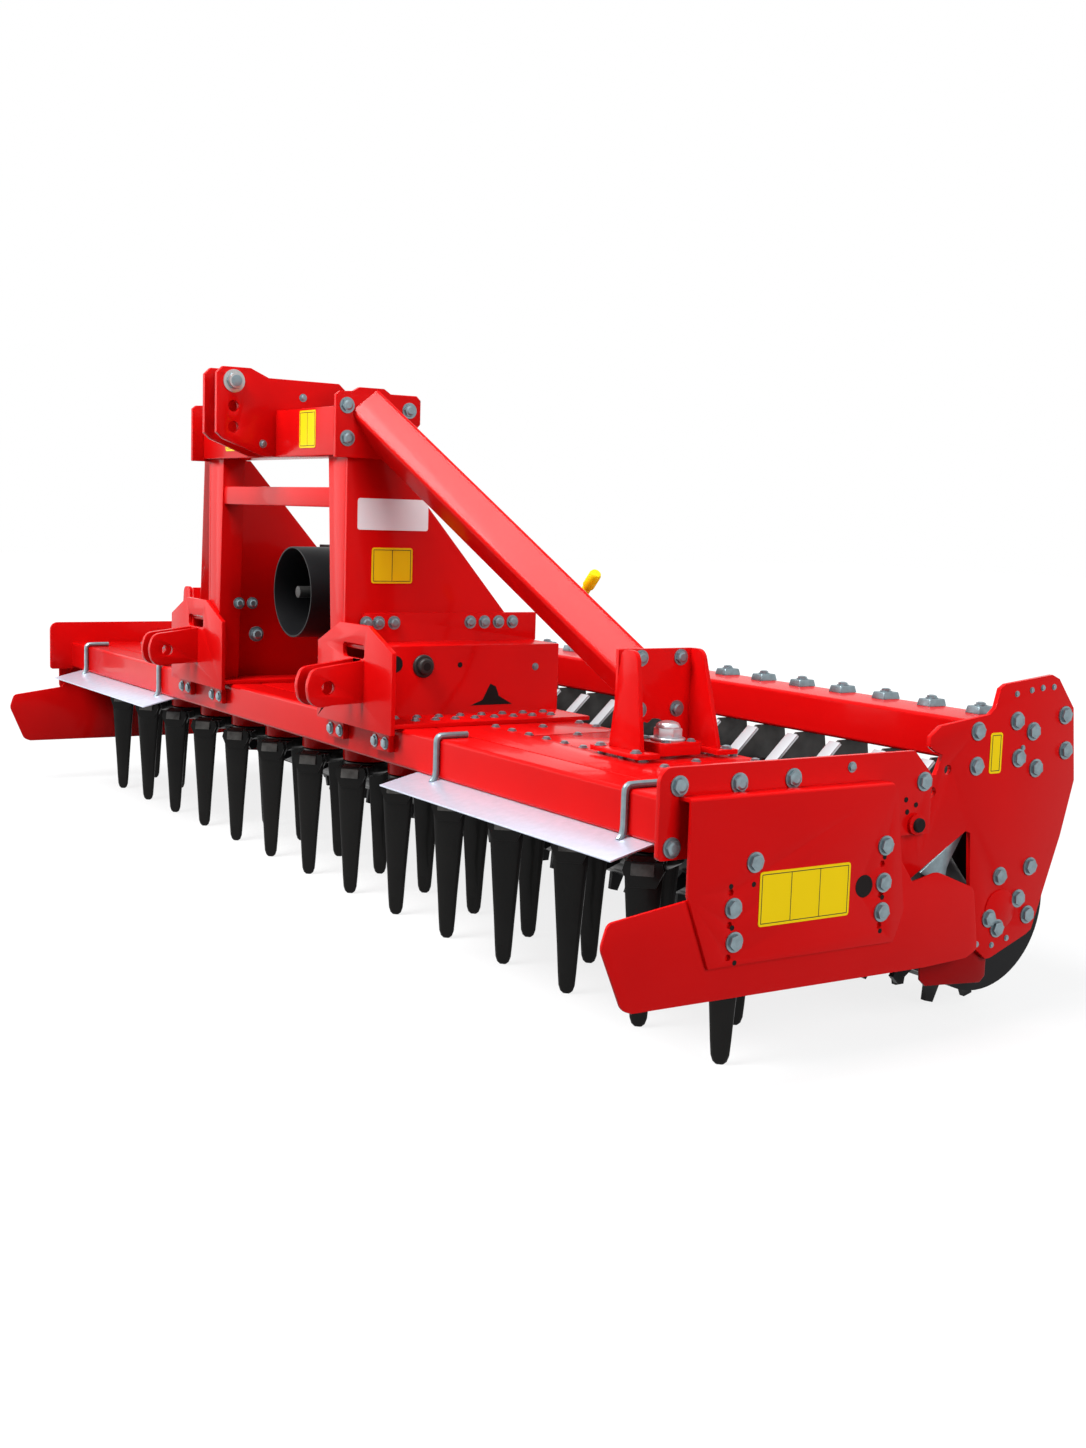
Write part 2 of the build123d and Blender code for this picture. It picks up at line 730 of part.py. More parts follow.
# Input shaft
with BuildPart() as input_shaft:
    with BuildSketch(front_plane(gearbox_front + input_seat)):
        with Locations((0, input_z)):
            Circle(journal_radius)
    extrude(amount=input_seat + input_collar)
    with BuildSketch(front_plane(gearbox_front - input_collar)):
        with Locations((0, input_z)):
            Circle(input_radius)
    extrude(amount=input_reach - input_collar)
save(input_shaft.part, "input_shaft")

# Guard tube round the input shaft
with BuildPart() as input_guard:
    with BuildSketch(front_plane(gearbox_front)):
        with Locations((0, input_z)):
            Circle(guard_radius)
            Circle(guard_radius - guard_wall, mode=Mode.SUBTRACT)
    extrude(amount=guard_length)
save(input_guard.part, "input_guard")

# Brace from the head plate down to the tower
head_x = head_plate_inner + head_plate_thickness
brace_start = Vector(head_x, rotor_y + brace_head[0], brace_head[1])
brace_end = Vector(tower_x, rotor_y + brace_foot[0], brace_foot[1])
brace_run = brace_end - brace_start
brace_side = Vector(0, 0, 1).cross(brace_run)
brace_plane = Plane(origin=brace_start - brace_run * 0.2, x_dir=brace_side, z_dir=brace_run)
with BuildPart() as brace:
    with BuildSketch(brace_plane):
        Rectangle(brace_width, brace_height)
        Rectangle(brace_width - 2 * brace_wall, brace_height - 2 * brace_wall, mode=Mode.SUBTRACT)
    extrude(amount=brace_run.length * 1.4)
    split(bisect_by=Plane.YZ.offset(head_x), keep=Keep.TOP)
    split(bisect_by=Plane.YZ.offset(tower_x), keep=Keep.BOTTOM)
save_pair(brace.part, "braces")

# Tower on the trough: back plate with an arch, two gussets and their feet
with BuildPart() as tower:
    tower_foot = rib_top + foot_thickness
    tower_mid = tower_front + tower_depth / 2
    with BuildSketch(side_plane(tower_x)):
        with Locations((tower_mid, (tower_foot + tower_top) / 2)):
            Rectangle(tower_depth, tower_top - tower_foot)
        with Locations((tower_mid, tower_foot)):
            Circle(tower_arch, mode=Mode.SUBTRACT)
    extrude(amount=tower_thickness)
    gusset_x = tower_x + tower_thickness
    for start in (tower_front + tower_thickness, tower_front + tower_depth):
        with BuildSketch(front_plane(start)):
            with BuildLine():
                Polyline((gusset_x, tower_foot), (gusset_x + gusset_foot, tower_foot),
                         (gusset_x + gusset_top, tower_top), (gusset_x, tower_top), close=True)
            make_face()
            fillet(vertices().group_by(Axis.Y)[-1].sort_by(Axis.X)[-1], gusset_top / 3)
        extrude(amount=tower_thickness)
    with BuildSketch(top_plane(rib_top)):
        for centre in (tower_front, tower_front + tower_depth):
            with Locations((gusset_x + gusset_foot / 2 - tower_thickness, centre)):
                Rectangle(gusset_foot + 2 * foot_overhang, foot_depth)
    extrude(amount=foot_thickness)
save_pair(tower.part, "towers")

# Filler boss and plug under the arch
filler_x = tower_x + tower_thickness + gusset_foot / 2
with BuildPart() as filler_boss:
    with BuildSketch(top_plane(rib_top)):
        with Locations((filler_x, filler_y)):
            RectangleRounded(filler_size[0], filler_size[1], 14)
    extrude(amount=filler_size[2])
save(filler_boss.part, "filler_boss")

with BuildPart() as filler_plug:
    with BuildSketch(top_plane(rib_top + filler_size[2])):
        with Locations((filler_x, filler_y)):
            RegularPolygon(filler_plug_radius, 6)
    extrude(amount=filler_plug_height / 2)
    with BuildSketch(top_plane(rib_top + filler_size[2] + filler_plug_height / 2)):
        with Locations((filler_x, filler_y)):
            Circle(filler_plug_radius * 0.8)
    extrude(amount=filler_plug_height / 2, taper=24)
save(filler_plug.part, "filler_plug")

# Stone guards: bent sheets under the beam
with BuildPart() as stone_guards:
    for start in (guard_inner, -guard_outer):
        with BuildSketch(side_plane(start)):
            with BuildLine():
                Polyline((beam_front + guard_lap, beam_bottom), (beam_front, beam_bottom),
                         (guard_nose_y, guard_nose_z), (guard_nose_y, guard_nose_z - guard_sheet),
                         (beam_front, beam_bottom - guard_sheet), (beam_front + guard_lap, beam_bottom - guard_sheet),
                         close=True)
            make_face()
        extrude(amount=guard_outer - guard_inner)
save(stone_guards.part, "stone_guards")

# Straps that hold the stone guards to the beam
with BuildPart() as guard_straps:
    strap_centres = (guard_inner + strap_inset, guard_outer - strap_inset)
    for centre in strap_centres + tuple(-x for x in strap_centres):
        with BuildSketch(side_plane(centre - strap_width / 2)):
            with BuildLine():
                Polyline((beam_front, beam_bottom), (beam_front, beam_top), (beam_front + strap_lap, beam_top),
                         (beam_front + strap_lap, beam_top + strap_thickness),
                         (beam_front - strap_thickness, beam_top + strap_thickness),
                         (beam_front - strap_thickness, beam_bottom), close=True)
            make_face()
            fillet(vertices().group_by(Axis.Y)[-1].sort_by(Axis.X)[0], strap_thickness)
        extrude(amount=strap_width)
save(guard_straps.part, "guard_straps")
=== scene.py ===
"""Looks of a mounted power harrow with a toothed packer roller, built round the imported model."""

from __future__ import annotations

import logging
import math
from dataclasses import dataclass
from enum import Enum
from typing import Any, Callable, Iterable, Sequence

import bmesh
import bpy
from mathutils import Matrix, Vector
from mathutils.geometry import tessellate_polygon
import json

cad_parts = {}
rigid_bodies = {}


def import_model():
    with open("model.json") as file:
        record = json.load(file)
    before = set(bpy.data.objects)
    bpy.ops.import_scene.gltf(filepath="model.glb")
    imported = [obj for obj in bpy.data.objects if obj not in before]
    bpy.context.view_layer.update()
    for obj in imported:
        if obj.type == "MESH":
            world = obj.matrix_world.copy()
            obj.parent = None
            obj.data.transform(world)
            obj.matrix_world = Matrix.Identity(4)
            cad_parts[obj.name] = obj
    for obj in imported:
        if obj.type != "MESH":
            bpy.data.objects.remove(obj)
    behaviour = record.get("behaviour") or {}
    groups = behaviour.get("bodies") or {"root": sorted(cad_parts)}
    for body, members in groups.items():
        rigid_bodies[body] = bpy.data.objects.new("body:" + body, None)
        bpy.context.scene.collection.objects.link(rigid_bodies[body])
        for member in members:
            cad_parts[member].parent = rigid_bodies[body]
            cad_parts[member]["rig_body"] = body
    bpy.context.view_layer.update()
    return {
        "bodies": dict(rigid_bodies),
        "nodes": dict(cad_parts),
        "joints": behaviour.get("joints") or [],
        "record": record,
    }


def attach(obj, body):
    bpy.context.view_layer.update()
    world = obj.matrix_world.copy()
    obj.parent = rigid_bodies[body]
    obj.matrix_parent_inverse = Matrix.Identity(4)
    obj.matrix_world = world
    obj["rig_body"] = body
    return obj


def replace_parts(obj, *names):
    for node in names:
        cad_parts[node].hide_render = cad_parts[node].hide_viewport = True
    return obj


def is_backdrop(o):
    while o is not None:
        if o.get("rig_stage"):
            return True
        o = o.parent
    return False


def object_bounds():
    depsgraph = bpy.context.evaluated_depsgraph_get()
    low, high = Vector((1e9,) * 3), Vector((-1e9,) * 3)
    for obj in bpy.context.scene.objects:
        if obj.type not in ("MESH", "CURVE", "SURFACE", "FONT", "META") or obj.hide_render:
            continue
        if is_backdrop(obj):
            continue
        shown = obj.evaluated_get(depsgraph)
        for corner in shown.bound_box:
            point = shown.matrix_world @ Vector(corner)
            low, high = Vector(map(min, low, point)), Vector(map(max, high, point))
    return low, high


LOG = logging.getLogger("power_harrow")
ROTOR_LINE = -0.2325
SEED = 7
UP = Vector((0, 0, 1))
AHEAD = Vector((0, -1, 0))
SIDES = ((1, "right"), (-1, "left"))
Outline = Sequence[tuple[float, float]]
Spots = Iterable[tuple[float, float, float]]
Place = Callable[[float, float, float], Vector]
SCRAPER_PLACES = [(k - 12) * 160 for k in range(25)]

# Outer faces of the plates that carry bolts and labels, in millimetres from the middle.
ARM, END_PLATE, BRACKET = 1983, 2000, 2040
MAST_FACE, STRIP, HEAD_PLATE, BOX, TOWER_WEB = 490, 500, 520, 631, 1366


def at(x: float, depth: float, height: float) -> Vector:
    """Gives a point in the row frame.

    Args:
        x: Place along the working width, in millimetres.
        depth: Distance behind the rotor line, in millimetres.
        height: Height above the floor, in millimetres.

    Returns:
        The point, in metres.
    """
    return Vector((x / 1000, ROTOR_LINE + depth / 1000, height / 1000))


@dataclass(frozen=True)
class Look:
    """How one kind of surface looks and which material slot of the record it belongs to."""

    slot: str
    colour: tuple[float, float, float]
    roughness: float
    metallic: float = 0.0
    coat: float = 0.0
    mottle: float = 0.08
    mottle_scale: float = 6.0
    grain: float = 0.05
    grain_scale: float = 260.0
    shine: float = 0.2


class Finish(Enum):
    """The surfaces of the machine."""

    RED = Look("red_paint", (0.60, 0.0028, 0.0030), 0.26, coat=0.25, mottle=0.05, grain=0.03, grain_scale=90,
               shine=0.04)
    # Painted shade: the red paint darkened for the roller shields, which sit in shade.
    RED_PAINTED_SHADE = Look("red_paint", (0.30, 0.002, 0.003), 0.40, coat=0.2, shine=0.05)
    BLACK = Look("black_paint", (0.006, 0.006, 0.007), 0.34, coat=0.1, shine=0.1)
    TINE = Look("tine_steel", (0.0050, 0.0046, 0.0042), 0.32, coat=0.2, mottle=0.3, mottle_scale=18, grain=0.12,
                shine=0.12)
    CLAMP = Look("tine_steel", (0.10, 0.096, 0.09), 0.3, metallic=0.5, mottle=0.5, mottle_scale=40, grain=0.2,
                 shine=0.5)
    ZINC = Look("zinc", (0.24, 0.31, 0.34), 0.30, metallic=0.8, mottle=0.25, mottle_scale=60, shine=0.5)
    SHEET = Look("galvanised", (0.60, 0.64, 0.76), 0.34, metallic=0.5, mottle=0.12, mottle_scale=45, grain=0.04,
                 shine=0.4)
    SCRAPER = Look("dark_steel", (0.060, 0.058, 0.056), 0.36, metallic=0.3, mottle=0.3, mottle_scale=25,
                   shine=0.3)
    # Bright steel: the filler cap's own finish, and the painted highlight strips along the scraper edges.
    BRIGHT_STEEL_AND_HIGHLIGHT = Look("dark_steel", (0.62, 0.63, 0.66), 0.28, metallic=0.7, mottle=0.15, shine=0.5)
    PLASTIC = Look("black_plastic", (0.008, 0.008, 0.009), 0.42, mottle=0.1, grain=0.08, shine=0.12)
    STEEL = Look("machined_steel", (0.45, 0.45, 0.45), 0.28, metallic=0.9, shine=0.5)
    OILED = Look("machined_steel", (0.035, 0.034, 0.033), 0.4, metallic=0.4)
    YELLOW = Look("red_paint", (0.86, 0.60, 0.003), 0.45, mottle=0.02, grain=0.0, shine=0.15)
    WHITE = Look("red_paint", (0.88, 0.88, 0.90), 0.4, mottle=0.02, grain=0.0)
    INK = Look("red_paint", (0.02, 0.018, 0.012), 0.5, mottle=0.02, grain=0.0)
    # Painted shade: a flat near-black finish laid over the mouths of holes, pivots and cut-outs, where only shade
    # falls.
    PAINTED_HOLE_SHADE = Look("black_paint", (0.006, 0.004, 0.004), 0.8, mottle=0.02, grain=0.0)


class Graph:
    """Builds a node tree with one call for each node."""

    def __init__(self, tree: bpy.types.NodeTree) -> None:
        self.tree = tree

    def add(self, kind: str, inputs: dict[str | int, Any] | None = None, **settings: Any) -> bpy.types.Node:
        """Adds a node.

        Args:
            kind: The node's type.
            inputs: What each input holds, as fill takes it.
            settings: The node's own properties.

        Returns:
            The node.
        """
        made = self.tree.nodes.new(kind)
        for name, value in settings.items():
            setattr(made, name, value)
        self.fill(made, inputs or {})
        return made

    def fill(self, node: bpy.types.Node, inputs: dict[str | int, Any]) -> None:
        """Sets or links the inputs of a node.

        Args:
            node: The node.
            inputs: A value, a socket or a list of sockets for each input, by place, name or identifier.
        """
        for key, value in inputs.items():
            socket = node.inputs[key] if isinstance(key, int) else self.find(node.inputs, key)
            if isinstance(value, (bpy.types.NodeSocket, list)):
                for start in value if isinstance(value, list) else [value]:
                    self.tree.links.new(start, socket)
            else:
                socket.default_value = value

    @staticmethod
    def find(sockets: Iterable[bpy.types.NodeSocket], key: str) -> bpy.types.NodeSocket:
        """Finds a socket by its name or identifier among those that the node uses."""
        return next(s for s in sockets if s.enabled and key in (s.name, s.identifier))


class FinishShop:
    """Builds each material once, from two shared node groups."""

    COAT_ROUGHNESS = 0.06
    COAT_IOR = 1.22

    def __init__(self) -> None:
        self._made: dict[Finish, bpy.types.Material] = {}
        self._mottle = self._mottle_group()
        self._grain = self._grain_group()

    @staticmethod
    def _group(name: str, numbers: dict[str, float],
               output: tuple[str, str]) -> tuple[Graph, bpy.types.NodeOutputs]:
        """Starts a shader group with its sockets.

        Args:
            name: The group's name.
            numbers: The default of each number that it takes, besides its vector.
            output: Name and type of its output.

        Returns:
            The group's graph and the sockets of its input node.
        """
        tree = bpy.data.node_groups.new(name, "ShaderNodeTree")
        new_socket = tree.interface.new_socket
        new_socket(name="Vector", in_out="INPUT", socket_type="NodeSocketVector")
        for label, default in numbers.items():
            new_socket(name=label, in_out="INPUT", socket_type="NodeSocketFloat").default_value = default
        new_socket(name=output[0], in_out="OUTPUT", socket_type=output[1])
        graph = Graph(tree)
        return graph, graph.add("NodeGroupInput").outputs

    def _mottle_group(self) -> bpy.types.NodeTree:
        """Makes the group that varies a surface slowly from place to place."""
        graph, given = self._group("Surface mottle", {"Scale": 6, "Amount": 0.1}, ("Value", "NodeSocketFloat"))
        noise = graph.add("ShaderNodeTexNoise", {"Vector": given["Vector"], "Scale": given["Scale"], "Detail": 5})
        low = graph.add("ShaderNodeMath", {0: 1.0, 1: given["Amount"]}, operation="SUBTRACT")
        spread = graph.add("ShaderNodeMapRange", {"Value": noise.outputs["Fac"], "From Min": 0.3, "From Max": 0.7,
                                                  "To Min": low.outputs[0], "To Max": 1.0})
        graph.add("NodeGroupOutput", {"Value": spread.outputs["Result"]})
        return graph.tree

    def _grain_group(self) -> bpy.types.NodeTree:
        """Makes the group that gives a surface its fine bumps."""
        graph, given = self._group("Surface grain", {"Scale": 200, "Strength": 0.1}, ("Normal", "NodeSocketVector"))
        noise = graph.add("ShaderNodeTexNoise", {"Vector": given["Vector"], "Scale": given["Scale"], "Detail": 3})
        bump = graph.add("ShaderNodeBump", {"Distance": 0.001, "Strength": given["Strength"],
                                            "Height": noise.outputs["Fac"]})
        graph.add("NodeGroupOutput", {"Normal": bump.outputs["Normal"]})
        return graph.tree

    def get(self, finish: Finish) -> bpy.types.Material:
        """Gives the material of a finish.

        Args:
            finish: Which surface.

        Returns:
            The material, made on first use.
        """
        if finish in self._made:
            return self._made[finish]
        look: Look = finish.value
        material = bpy.data.materials.new(finish.name.lower())
        material.use_nodes = True
        graph = Graph(material.node_tree)
        shader = material.node_tree.nodes["Principled BSDF"]
        place = graph.add("ShaderNodeTexCoord").outputs["Object"]
        mottle = graph.add("ShaderNodeGroup", {"Scale": look.mottle_scale, "Amount": look.mottle, "Vector": place},
                           node_tree=self._mottle).outputs["Value"]
        tint = graph.add("ShaderNodeMix", {"Factor_Float": 1.0, "A_Color": (*look.colour, 1.0), "B_Color": mottle},
                         data_type="RGBA", blend_type="MULTIPLY")
        rough = graph.add("ShaderNodeMath", {0: look.roughness, 1: mottle}, operation="DIVIDE")
        graph.fill(shader, {
            "Base Color": Graph.find(tint.outputs, "Result_Color"), "Roughness": rough.outputs[0],
            "Metallic": look.metallic, "Specular IOR Level": look.shine, "Coat Weight": look.coat,
            "Coat Roughness": self.COAT_ROUGHNESS, "Coat IOR": self.COAT_IOR,
        })
        if look.grain:
            grain = graph.add("ShaderNodeGroup", {"Scale": look.grain_scale, "Strength": look.grain, "Vector": place},
                              node_tree=self._grain)
            graph.fill(shader, {"Normal": grain.outputs["Normal"]})
        self._made[finish] = material
        return material


def break_edges(bm: bmesh.types.BMesh, width: float, angle: float) -> None:
    """Bevels every edge where two faces turn by more than an angle.

    Args:
        bm: The mesh.
        width: How wide the edges are broken, in metres.
        angle: The smallest turn that counts as an edge, in degrees.
    """
    sharp = [e for e in bm.edges if len(e.link_faces) == 2 and e.calc_face_angle(0) > math.radians(angle)]
    bmesh.ops.bevel(bm, geom=sharp, offset=width, segments=2, profile=0.6, affect="EDGES", clamp_overlap=True)


def add_object(name: str, data: bpy.types.ID) -> bpy.types.Object:
    """Puts an object with this data into the scene."""
    made = bpy.data.objects.new(name, data)
    bpy.context.scene.collection.objects.link(made)
    return made


def side(y: float, z: float, x: float) -> Vector:
    """Places a point given across the machine: depth, height, then X."""
    return at(x, y, z)


def front(x: float, z: float, y: float) -> Vector:
    """Places a point given from the front: X, height, then depth."""
    return at(x, y, z)


class Solid:
    """A mesh that is put together from simple solids, in the row frame."""

    def __init__(self) -> None:
        self.bm = bmesh.new()

    def skin(self, rings: Sequence[Sequence[Vector]]) -> None:
        """Joins rings of equally many points into a closed skin."""
        loops = [[self.bm.verts.new(p) for p in ring] for ring in rings]
        for low, high in zip(loops, loops[1:]):
            for k in range(len(low)):
                n = (k + 1) % len(low)
                self.bm.faces.new((low[k], low[n], high[n], high[k]))
        self.bm.faces.new(list(reversed(loops[0])))
        self.bm.faces.new(loops[-1])

    def box(self, low: Vector, high: Vector) -> None:
        """Adds a box between two corners."""
        (x0, y0, z0), (x1, y1, z1) = low, high
        ring = [(x0, y0), (x1, y0), (x1, y1), (x0, y1)]
        self.skin([[Vector((x, y, z)) for x, y in ring] for z in (z0, z1)])

    def prism(self, outline: Outline, place: Place, start: float, end: float) -> None:
        """Adds a straight prism.

        Args:
            outline: The corners in the plane.
            place: Turns two plane numbers and a distance into a point.
            start: Where the prism starts.
            end: Where it ends.
        """
        self.skin([[place(u, v, w) for u, v in outline] for w in (start, end)])

    def slabs(self, outline: Outline, inner: float, outer: float) -> None:
        """Adds the same slab on both sides of the machine, from its outline in depth and height."""
        for sign, _ in SIDES:
            self.prism(outline, side, *sorted((sign * inner, sign * outer)))

    def plate(self, outline: Outline, holes: Sequence[Outline], place: Place, start: float, end: float) -> None:
        """Adds a flat plate with holes through it.

        Args:
            outline: The corners in the plane.
            holes: The corners of each hole.
            place: Turns two plane numbers and a distance into a point.
            start: Where the plate starts.
            end: Where it ends.
        """
        loops = [list(outline)] + [list(hole) for hole in holes]
        flat = [[Vector((u, v, 0)) for u, v in loop] for loop in loops]
        rows = tessellate_polygon(flat)
        skins = []
        for w in (start, end):
            skins.append([self.bm.verts.new(place(u, v, w)) for loop in loops for u, v in loop])
            for row in rows:
                if len(set(row)) == 3:
                    self.bm.faces.new([skins[-1][k] for k in row])
        first = 0
        for loop in loops:
            for k in range(len(loop)):
                a, b = first + k, first + (k + 1) % len(loop)
                self.bm.faces.new((skins[0][a], skins[0][b], skins[1][b], skins[1][a]))
            first += len(loop)

    @staticmethod
    def _ring(centre: Vector, across: Vector, other: Vector, radius: float, sides: int) -> list[Vector]:
        """Gives the points of a circle in the plane of two directions."""
        turns = [math.tau * k / sides for k in range(sides)]
        return [centre + (across * math.cos(a) + other * math.sin(a)) * radius for a in turns]

    def round(self, start: Vector, end: Vector, radii: Sequence[float], sides: int = 24,
              stops: Sequence[float] | None = None) -> None:
        """Adds a turned solid from start to end, with one radius at each stop along it."""
        axis = end - start
        across = axis.orthogonal().normalized()
        other = axis.normalized().cross(across)
        stops = stops or [k / (len(radii) - 1) for k in range(len(radii))]
        self.skin([self._ring(start + axis * share, across, other, radius, sides)
                   for share, radius in zip(stops, radii)])

    def discs(self, inner: float, outer: float, depth: float, height: float, radii: Sequence[float],
              sides: int = 24, stops: Sequence[float] | None = None) -> None:
        """Adds the same turned disc on both sides of the machine, from an inner to an outer X."""
        for sign, _ in SIDES:
            self.round(at(sign * inner, depth, height), at(sign * outer, depth, height), radii, sides, stops)

    def sweep(self, path: Sequence[Vector], radius: float, sides: int = 10) -> None:
        """Adds a rod along a path, with its corners mitred."""
        across = None
        rings = []
        for k, point in enumerate(path):
            before = (point - path[k - 1]).normalized() if k else (path[1] - path[0]).normalized()
            after = (path[k + 1] - point).normalized() if k + 1 < len(path) else before
            tangent = (before + after).normalized()
            flat = tangent.orthogonal() if across is None else across - tangent * across.dot(tangent)
            across = flat.normalized()
            stretch = 1 / max(0.6, tangent.dot(before))
            rings.append(self._ring(point, across, tangent.cross(across), radius * stretch, sides))
        self.skin(rings)

    def piece(self, name: str, finish: Finish, body: str, shop: FinishShop, bevel: float = 0.0,
              angle: float = 32.0) -> bpy.types.Object:
        """Closes the mesh into a piece that rides on a body.

        Args:
            name: The piece's name.
            finish: Its surface.
            body: The body that carries it.
            shop: Where its material comes from.
            bevel: How wide its edges are broken, in metres.
            angle: The smallest turn, in degrees, that counts as an edge.

        Returns:
            The piece.
        """
        bmesh.ops.recalc_face_normals(self.bm, faces=self.bm.faces)
        if bevel:
            break_edges(self.bm, bevel, angle)
        mesh = bpy.data.meshes.new(name)
        self.bm.to_mesh(mesh)
        self.bm.free()
        return dress(mesh, name, finish, body, shop, angle)


def dress(mesh: bpy.types.Mesh, name: str, finish: Finish, body: str, shop: FinishShop,
          angle: float = 32.0) -> bpy.types.Object:
    """Turns a mesh into a shaded piece of a body.

    Args:
        mesh: The mesh, in the row frame.
        name: The piece's name.
        finish: Its surface.
        body: The body that carries it.
        shop: Where its material comes from.
        angle: The smallest turn, in degrees, that shades as an edge.

    Returns:
        The piece.
    """
    mesh.materials.clear()
    mesh.materials.append(shop.get(finish))
    mesh.polygons.foreach_set("use_smooth", [True] * len(mesh.polygons))
    mesh.polygons.foreach_set("material_index", [0] * len(mesh.polygons))
    mesh.set_sharp_from_angle(angle=math.radians(angle))
    piece = add_object(name, mesh)
    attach(piece, body)
    return piece


def circle(u: float, v: float, radius: float, sides: int = 28) -> Outline:
    """Gives the corners of a round hole."""
    turns = [math.tau * k / sides for k in range(sides)]
    return [(u + radius * math.cos(a), v + radius * math.sin(a)) for a in turns]


def rounded(outline: Sequence[tuple[float, float, float]], steps: int = 6) -> Outline:
    """Rounds the corners of an outline.

    Args:
        outline: Each corner and its radius.
        steps: How many parts an arc has.

    Returns:
        The corners of the rounded outline.
    """
    points = []
    for k, (u, v, radius) in enumerate(outline):
        here = Vector((u, v))
        back = (Vector(outline[k - 1][:2]) - here).normalized()
        ahead = (Vector(outline[(k + 1) % len(outline)][:2]) - here).normalized()
        if not radius:
            points.append((u, v))
            continue
        half = back.angle(ahead) / 2
        reach = radius / math.tan(half)
        centre = here + (back + ahead).normalized() * (radius / math.sin(half))
        low, high = here + back * reach - centre, here + ahead * reach - centre
        turn = low.angle_signed(high)
        for n in range(steps + 1):
            spin = Matrix.Rotation(-turn * n / steps, 2)
            spoke = centre + spin @ low
            points.append((spoke.x, spoke.y))
    return points


@dataclass
class Maker:
    """Builds pieces of the machine with materials from one shop."""

    shop: FinishShop


@dataclass(frozen=True)
class Refined:
    """A CAD node that is shown with broken edges, all of one width, and perhaps rounder corners seen from the side."""

    node: str
    finish: Finish = Finish.RED
    edge: float = 0.0022
    corner: float = 0.0


class PlateWork:
    """Shows the CAD's plates and tubes with broken edges and their paint, with painted shade on the roller shields."""

    PLATES = (
        Refined("trough"), Refined("trough_cover", edge=0.0015), Refined("front_beam", edge=0.006),
        Refined("rotor_housings", edge=0.002), Refined("end_plates"), Refined("side_brackets"),
        Refined("deflectors", edge=0.0025, corner=0.011), Refined("arm_pivots"), Refined("roller_arms"),
        Refined("roller_bearings", Finish.BLACK), Refined("scraper_bar", edge=0.005),
        # The roller shields take the red with painted shade, darker than the rest of the paint.
        Refined("scraper_clamps", Finish.ZINC), Refined("roller_shields", Finish.RED_PAINTED_SHADE),
        Refined("mast_posts", edge=0.003), Refined("mast_plates"), Refined("head_tube", edge=0.006),
        Refined("head_plates"), Refined("tie_bar", edge=0.004), Refined("toplink_plates"),
        Refined("toplink_pin", Finish.ZINC, 0.0015), Refined("hitch_brackets"),
        Refined("side_boxes", edge=0.003), Refined("beam_pads", edge=0.004), Refined("gearbox", Finish.BLACK, 0.006),
        Refined("input_shaft", Finish.OILED, 0.0015), Refined("input_guard", Finish.PLASTIC, 0.0008),
        Refined("stone_guards", Finish.SHEET, 0.0009), Refined("scrapers", Finish.SCRAPER, 0.0008),
        Refined("packer_roller", Finish.BLACK, 0.0),
    )
    WELD = 0.00005
    FLAT = math.radians(0.6)
    SHARP = 40.0
    SHADED = 30.0
    CORNER_TURN = 0.5
    ALONG_X = 0.99

    def __init__(self, frame: dict, shop: FinishShop) -> None:
        self.frame = frame
        self.shop = shop

    def build(self) -> None:
        """Builds every plate and hides the node it stands for."""
        for plate in self.PLATES:
            node = self.frame["nodes"][plate.node]
            bm = bmesh.new()
            bm.from_mesh(node.data)
            bmesh.ops.remove_doubles(bm, verts=bm.verts, dist=self.WELD)
            if plate.node == "packer_roller":
                self._ease_stubs(bm)
            bmesh.ops.dissolve_limit(bm, angle_limit=self.FLAT, verts=bm.verts, edges=bm.edges)
            if plate.corner:
                self._round_corners(bm, plate.corner)
            if plate.edge:
                break_edges(bm, plate.edge, self.SHARP)
            mesh = bpy.data.meshes.new(plate.node + "_look")
            bm.to_mesh(mesh)
            bm.free()
            piece = dress(mesh, plate.node + "_look", plate.finish, node["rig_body"], self.shop, self.SHADED)
            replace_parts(piece, plate.node)
        LOG.info("plates: %d", len(self.PLATES))

    def _round_corners(self, bm: bmesh.types.BMesh, radius: float) -> None:
        """Rounds the outer corners whose edges run along X."""
        across = [e for e in bm.edges if len(e.link_faces) == 2 and e.is_convex
                  and e.calc_face_angle(0) > self.CORNER_TURN
                  and abs((e.verts[0].co - e.verts[1].co).normalized().x) > self.ALONG_X]
        bmesh.ops.bevel(bm, geom=across, offset=radius, segments=4, profile=0.5, affect="EDGES", clamp_overlap=True)

    @staticmethod
    def _ease_stubs(bm: bmesh.types.BMesh, axis: tuple[float, float] = (0.4435, 0.25), radius: float = 0.031,
                    share: float = 0.975) -> None:
        """Makes the roller's stub shafts a little thinner, so that their facets clear the bearings at every turn."""
        for vert in bm.verts:
            y, z = vert.co.y - axis[0], vert.co.z - axis[1]
            if math.hypot(y, z) < radius:
                vert.co.y, vert.co.z = axis[0] + y * share, axis[1] + z * share


@dataclass(frozen=True)
class Bolt:
    """One bolt head: where it sits, which way it points and its size."""

    place: Vector
    axis: Vector
    size: float = 0.0165


